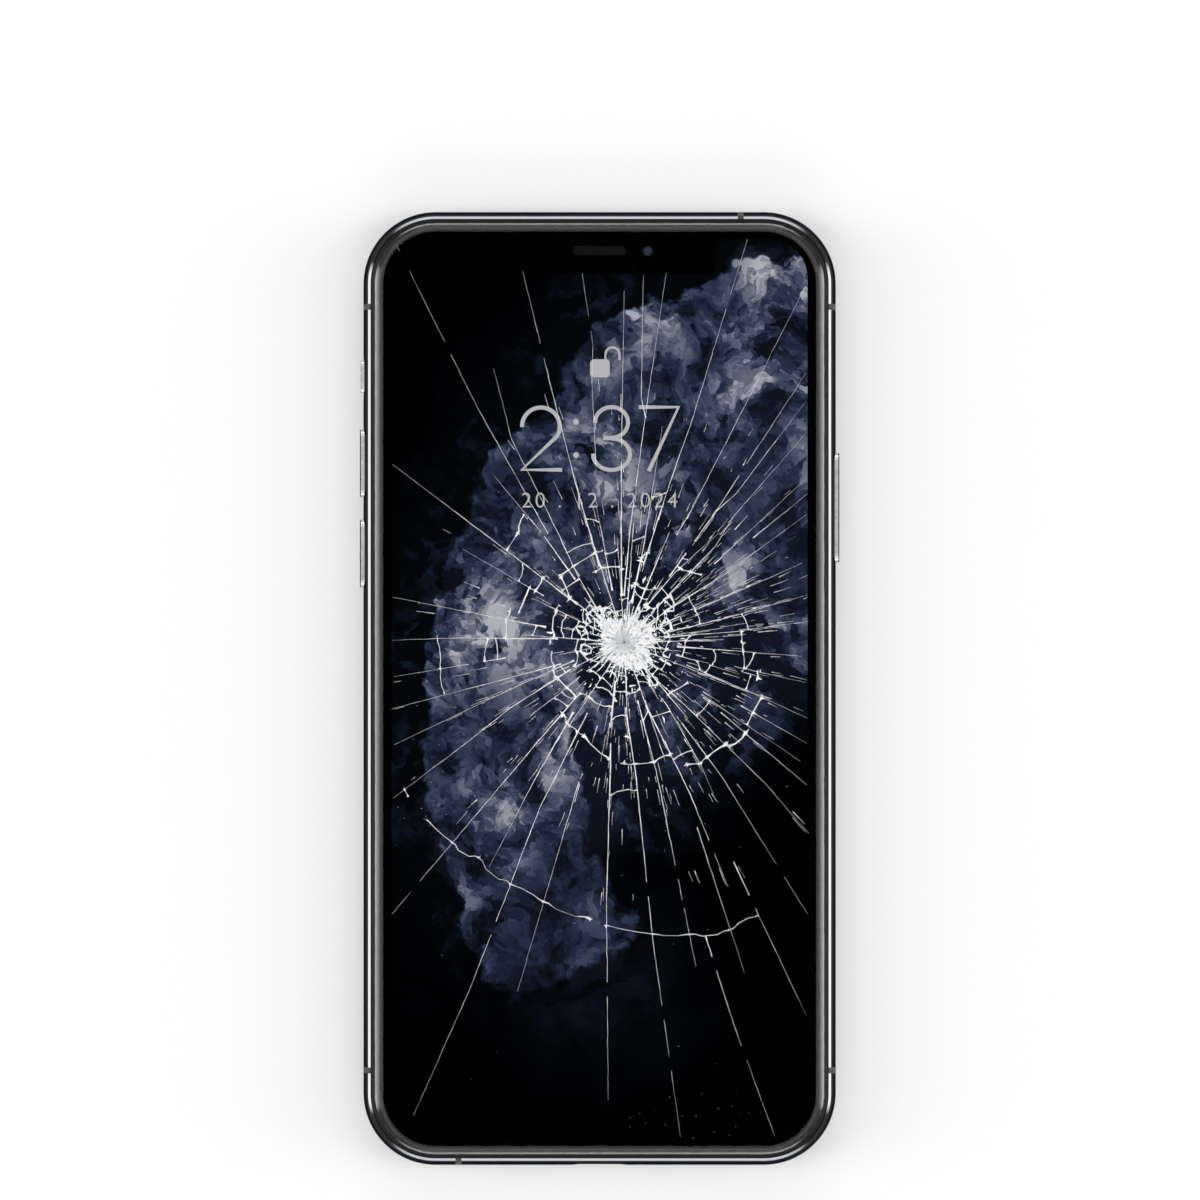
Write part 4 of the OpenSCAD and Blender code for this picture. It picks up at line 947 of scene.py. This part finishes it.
def make_crushed_patch():
    """The crushed glass under the blow: its bed, and grains that thin out round it."""
    chance = random.Random(4)
    make_crushed_bed(chance)
    vertices, faces = [], []
    for _ in range(1300):
        bearing = chance.uniform(0, 360)
        edge = crushed_reach(bearing)
        radius = chance.choice((chance.uniform(0.2, 1.0) * edge, 0.85 * edge + chance.expovariate(1.0)))
        size = chance.uniform(0.04, 0.26) * (1.0 if radius < edge else 0.55)
        x, y = polar(bearing, radius)
        start = chance.uniform(0, 2)
        corners = chance.choice((3, 4, 5))
        outline = [(x + size * chance.uniform(0.6, 1.2) * math.cos(start + 2 * math.pi * k / corners),
                    y + size * chance.uniform(0.6, 1.2) * math.sin(start + 2 * math.pi * k / corners))
                   for k in range(corners)]
        prism(vertices, faces, outline, GLASS_TOP - 0.07, GLASS_TOP + chance.uniform(0.0, 0.025))
    settle(mesh_piece("glass_grains", vertices, faces), FRACTURE)


# ---------------------------------------------------------------- small details

def turned(name, x, y, profile, material, slot, sides=48):
    """Settles a round piece, turned to a closed profile of (radius, height) on an upright axis."""
    bpy.ops.object.select_all(action="DESELECT")
    radius, height = profile[0]
    bpy.ops.mesh.primitive_circle_add(vertices=sides, radius=radius * MM,
                                      location=(x * MM, y * MM, height * MM))
    piece = bpy.context.view_layer.objects.active
    piece.name = name
    bpy.ops.object.transform_apply(location=True, rotation=True, scale=True)
    bpy.ops.object.mode_set(mode="EDIT")
    bpy.ops.mesh.select_all(action="SELECT")
    for (r0, z0), (r1, z1) in zip(profile, profile[1:] + profile[:1]):
        bpy.ops.mesh.extrude_region_move(TRANSFORM_OT_translate={"value": (0, 0, (z1 - z0) * MM)})
        bpy.ops.transform.resize(value=(r1 / r0, r1 / r0, 1), center_override=(x * MM, y * MM, z1 * MM))
    bpy.ops.mesh.select_all(action="SELECT")
    bpy.ops.mesh.remove_doubles(threshold=0.002 * MM)
    bpy.ops.mesh.normals_make_consistent(inside=False)
    bpy.ops.object.mode_set(mode="OBJECT")
    bpy.ops.object.shade_smooth_by_angle(angle=math.radians(30))
    settle(piece, material)


def make_front_camera():
    """Seen through the clear spot in the ink: a stepped black hood round a small bluish pupil."""
    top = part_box("front_lens")[1].z / MM
    hood = ((0.98, 0.01), (0.98, 0.09), (0.9, 0.09), (0.6, 0.03), (0.55, 0.01))
    pupil = ((0.0015, 0.005), (0.5, 0.005), (0.35, 0.035), (0.15, 0.05), (0.0015, 0.055))
    for name, profile, material, slot in (("front_camera_hood", hood, MODULE_PLASTIC, "module_plastic"),
                                          ("front_camera_pupil", pupil, PUPIL, "lens_glass")):
        turned(name, *FRONT_CAMERA, [(radius, top + rise) for radius, rise in profile], material, slot)


def make_rear_optics():
    """Behind the camera pane: a stepped baffle and a domed, coated front element on each lens."""
    baffle = ((2.9, 0.02), (2.9, 0.3), (2.6, 0.3), (2.2, 0.16), (1.75, 0.16), (1.4, 0.02))
    dome = ((0.0015, 0.01), (1.3, 0.01), (1.1, 0.07), (0.7, 0.12), (0.3, 0.145), (0.0015, 0.15))
    for number in (1, 2):
        low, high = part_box("rear_lens_%d" % number)
        x, y = (low.x + high.x) / 2 / MM, (low.y + high.y) / 2 / MM
        face = low.z / MM
        for name, profile, material, slot in (("rear_baffle_%d", baffle, MODULE_PLASTIC, "module_plastic"),
                                              ("rear_element_%d", dome, PUPIL, "lens_glass")):
            turned(name % number, x, y, [(radius, face - drop) for radius, drop in profile], material, slot)


def make_port_contacts():
    """Eight gold strips on each face of the port's tongue, each with its edges broken."""
    pitch, width, length, thick = 0.66, 0.36, 3.4, 0.08
    low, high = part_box("port_tongue")
    strips = []
    for face in (low.z, high.z):
        for number in range(8):
            bpy.ops.object.select_all(action="DESELECT")
            bpy.ops.mesh.primitive_cube_add(
                size=1, location=((pitch * number - 2.31) * MM, low.y + 2.3 * MM, face),
                scale=(width * MM, length * MM, thick * MM))
            strips.append(bpy.context.view_layer.objects.active)
            bpy.ops.object.transform_apply(location=True, rotation=True, scale=True)
            bpy.ops.object.mode_set(mode="EDIT")
            bpy.ops.mesh.select_all(action="SELECT")
            bpy.ops.mesh.bevel(offset=0.03 * MM, segments=2, affect="EDGES")
            bpy.ops.object.mode_set(mode="OBJECT")
    for strip in strips:
        strip.select_set(True)
    bpy.context.view_layer.objects.active = strips[0]
    bpy.ops.object.join()
    strips[0].name = "port_contacts"
    settle(strips[0], GOLD)


def make_screw_faces():
    """The star-shaped socket in each end screw: a plate with five round lobes let into it."""
    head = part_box("end_screws")[0].y / MM
    turns = [2 * math.pi * k / 60 for k in range(60)]
    lobes = [around(0, 0, turn, 0.36 + 0.09 * math.cos(5 * turn)) for turn in turns]
    outlines = [at_height(line, 0) for line in (ring_of(0, 0, 0.77), lobes)]
    for side, name in ((-1, "screw_face_left"), (1, "screw_face_right")):
        plate = curve_piece(name, outlines, flat=True, thick=0.1)
        plate.data.transform(Matrix.Rotation(math.radians(90), 4, "X"))
        plate.data.transform(Matrix.Translation((side * 6.3 * MM, (head - 0.06) * MM, 4.05 * MM)))
        settle(plate, SCREW_STEEL)


# ---------------------------------------------------------------- stage

# Each lamp of the dome: its axis, how sharply it ends to each side, its strength and how that goes
# with height. The wall is all round; the side lamps fade as they rise.
LAMPS = [("Z", (-1, -0.5), 0.3, [(0, 1), (0.3, 0.6), (1, 0.15)]),
         ("X", (0.93, 0.99), 4.6, [(0, 0), (0.12, 0.2), (0.3, 1), (0.5, 1), (0.86, 0.35), (0.9, 0)]),
         ("Y", (0.9, 0.97), 0.7, [(0, 0), (0.3, 0.2), (0.5, 1), (0.86, 0.6), (0.9, 0)]),
         ("Y", (0.75, 0.9), 2.2, [(0, 0), (0.47, 0), (0.5, 1), (0.62, 1), (0.65, 0)]),
         ("Z", (-1, -0.5), 0.75, [(0.8, 0), (0.9, 1)])]


def make_floor():
    """Pale paper, lit up a little in plain sight and in reflections."""
    # A hair below the back glass, so the two faces don't share a plane.
    bpy.ops.mesh.primitive_plane_add(size=6, location=(0, 0, -0.05 * MM))
    floor = bpy.context.view_layer.objects.active
    floor.name = "floor"
    bpy.ops.object.transform_apply(location=True, rotation=True, scale=True)
    material, tree, shader = finish("pale_paper", "#d8d8d8", 0.9, Emission_Color=(1, 1, 1, 1))
    path = add(tree, "LightPath").outputs
    seen = path["Is Camera Ray"]
    for ray in ("Is Glossy Ray", "Is Transmission Ray"):
        seen = add(tree, "Math", [seen, path[ray]], operation="MAXIMUM")
    feed(shader, {"Emission Strength": add(tree, "Math", [seen, 0.32], operation="MULTIPLY")})
    floor.data.materials.append(material)


def make_dome():
    """A dome of soft light: strong at the sides, weaker at the ends and overhead."""
    world = bpy.data.worlds.new("studio")
    bpy.context.scene.world = world
    world.use_nodes = True
    tree = world.node_tree
    direction = add(tree, "TexCoord").outputs["Generated"]
    up = add(tree, "SeparateXYZ", [direction]).outputs["Z"]
    level = add(tree, "VectorMath", [direction, (1, 1, 0)], operation="MULTIPLY")
    for operation in ("NORMALIZE", "ABSOLUTE"):
        level = add(tree, "VectorMath", [level], operation=operation)
    sides = add(tree, "SeparateXYZ", [level]).outputs
    glow = 0.0
    for axis, edges, strength, rise in LAMPS:
        spread = add(tree, "MapRange", [sides[axis], *edges], interpolation_type="SMOOTHSTEP")
        height = add(tree, "ValToRGB", [up])
        set_stops(height, rise)
        lamp = add(tree, "Math", [spread, height], operation="MULTIPLY")
        glow = add(tree, "Math", [lamp, strength, glow], operation="MULTIPLY_ADD")
    # A small dark flag hangs straight above, so the flat glass mirrors nothing.
    flag = add(tree, "MapRange", [up, 0.9955, 0.997, 1.0, 0.0])
    glow = add(tree, "Math", [glow, flag], operation="MULTIPLY")
    # Whatever the lamps do, the dome itself looks plain white.
    camera = add(tree, "LightPath").outputs["Is Camera Ray"]
    feed(tree.nodes["Background"], {"Strength": add(tree, "Mix", {0: camera, 2: glow, 3: 1.0}),
                                    "Color": (1, 1, 1, 1)})


def make_camera():
    """Straight down on the screen from far off, with the earpiece end at the top."""
    distance, sensor, view_height = 1.5, 36, 181.35 * MM
    camera = bpy.data.cameras.new("camera")
    camera.sensor_width = sensor
    camera.lens = sensor * distance / view_height
    camera.clip_end = 20
    holder = new_object("camera", camera)
    holder.location = (0.06 * MM, 13.37 * MM, GLASS_TOP / 2 * MM + distance)
    bpy.context.scene.camera = holder


dress_cad_nodes()
make_ink_border()
make_clock()
make_padlock()
make_date()
make_cracks()
make_chips()
make_crushed_patch()
make_front_camera()
make_rear_optics()
make_port_contacts()
make_screw_faces()
make_floor()
make_dome()
make_camera()
bpy.context.scene.view_settings.view_transform = "Standard"
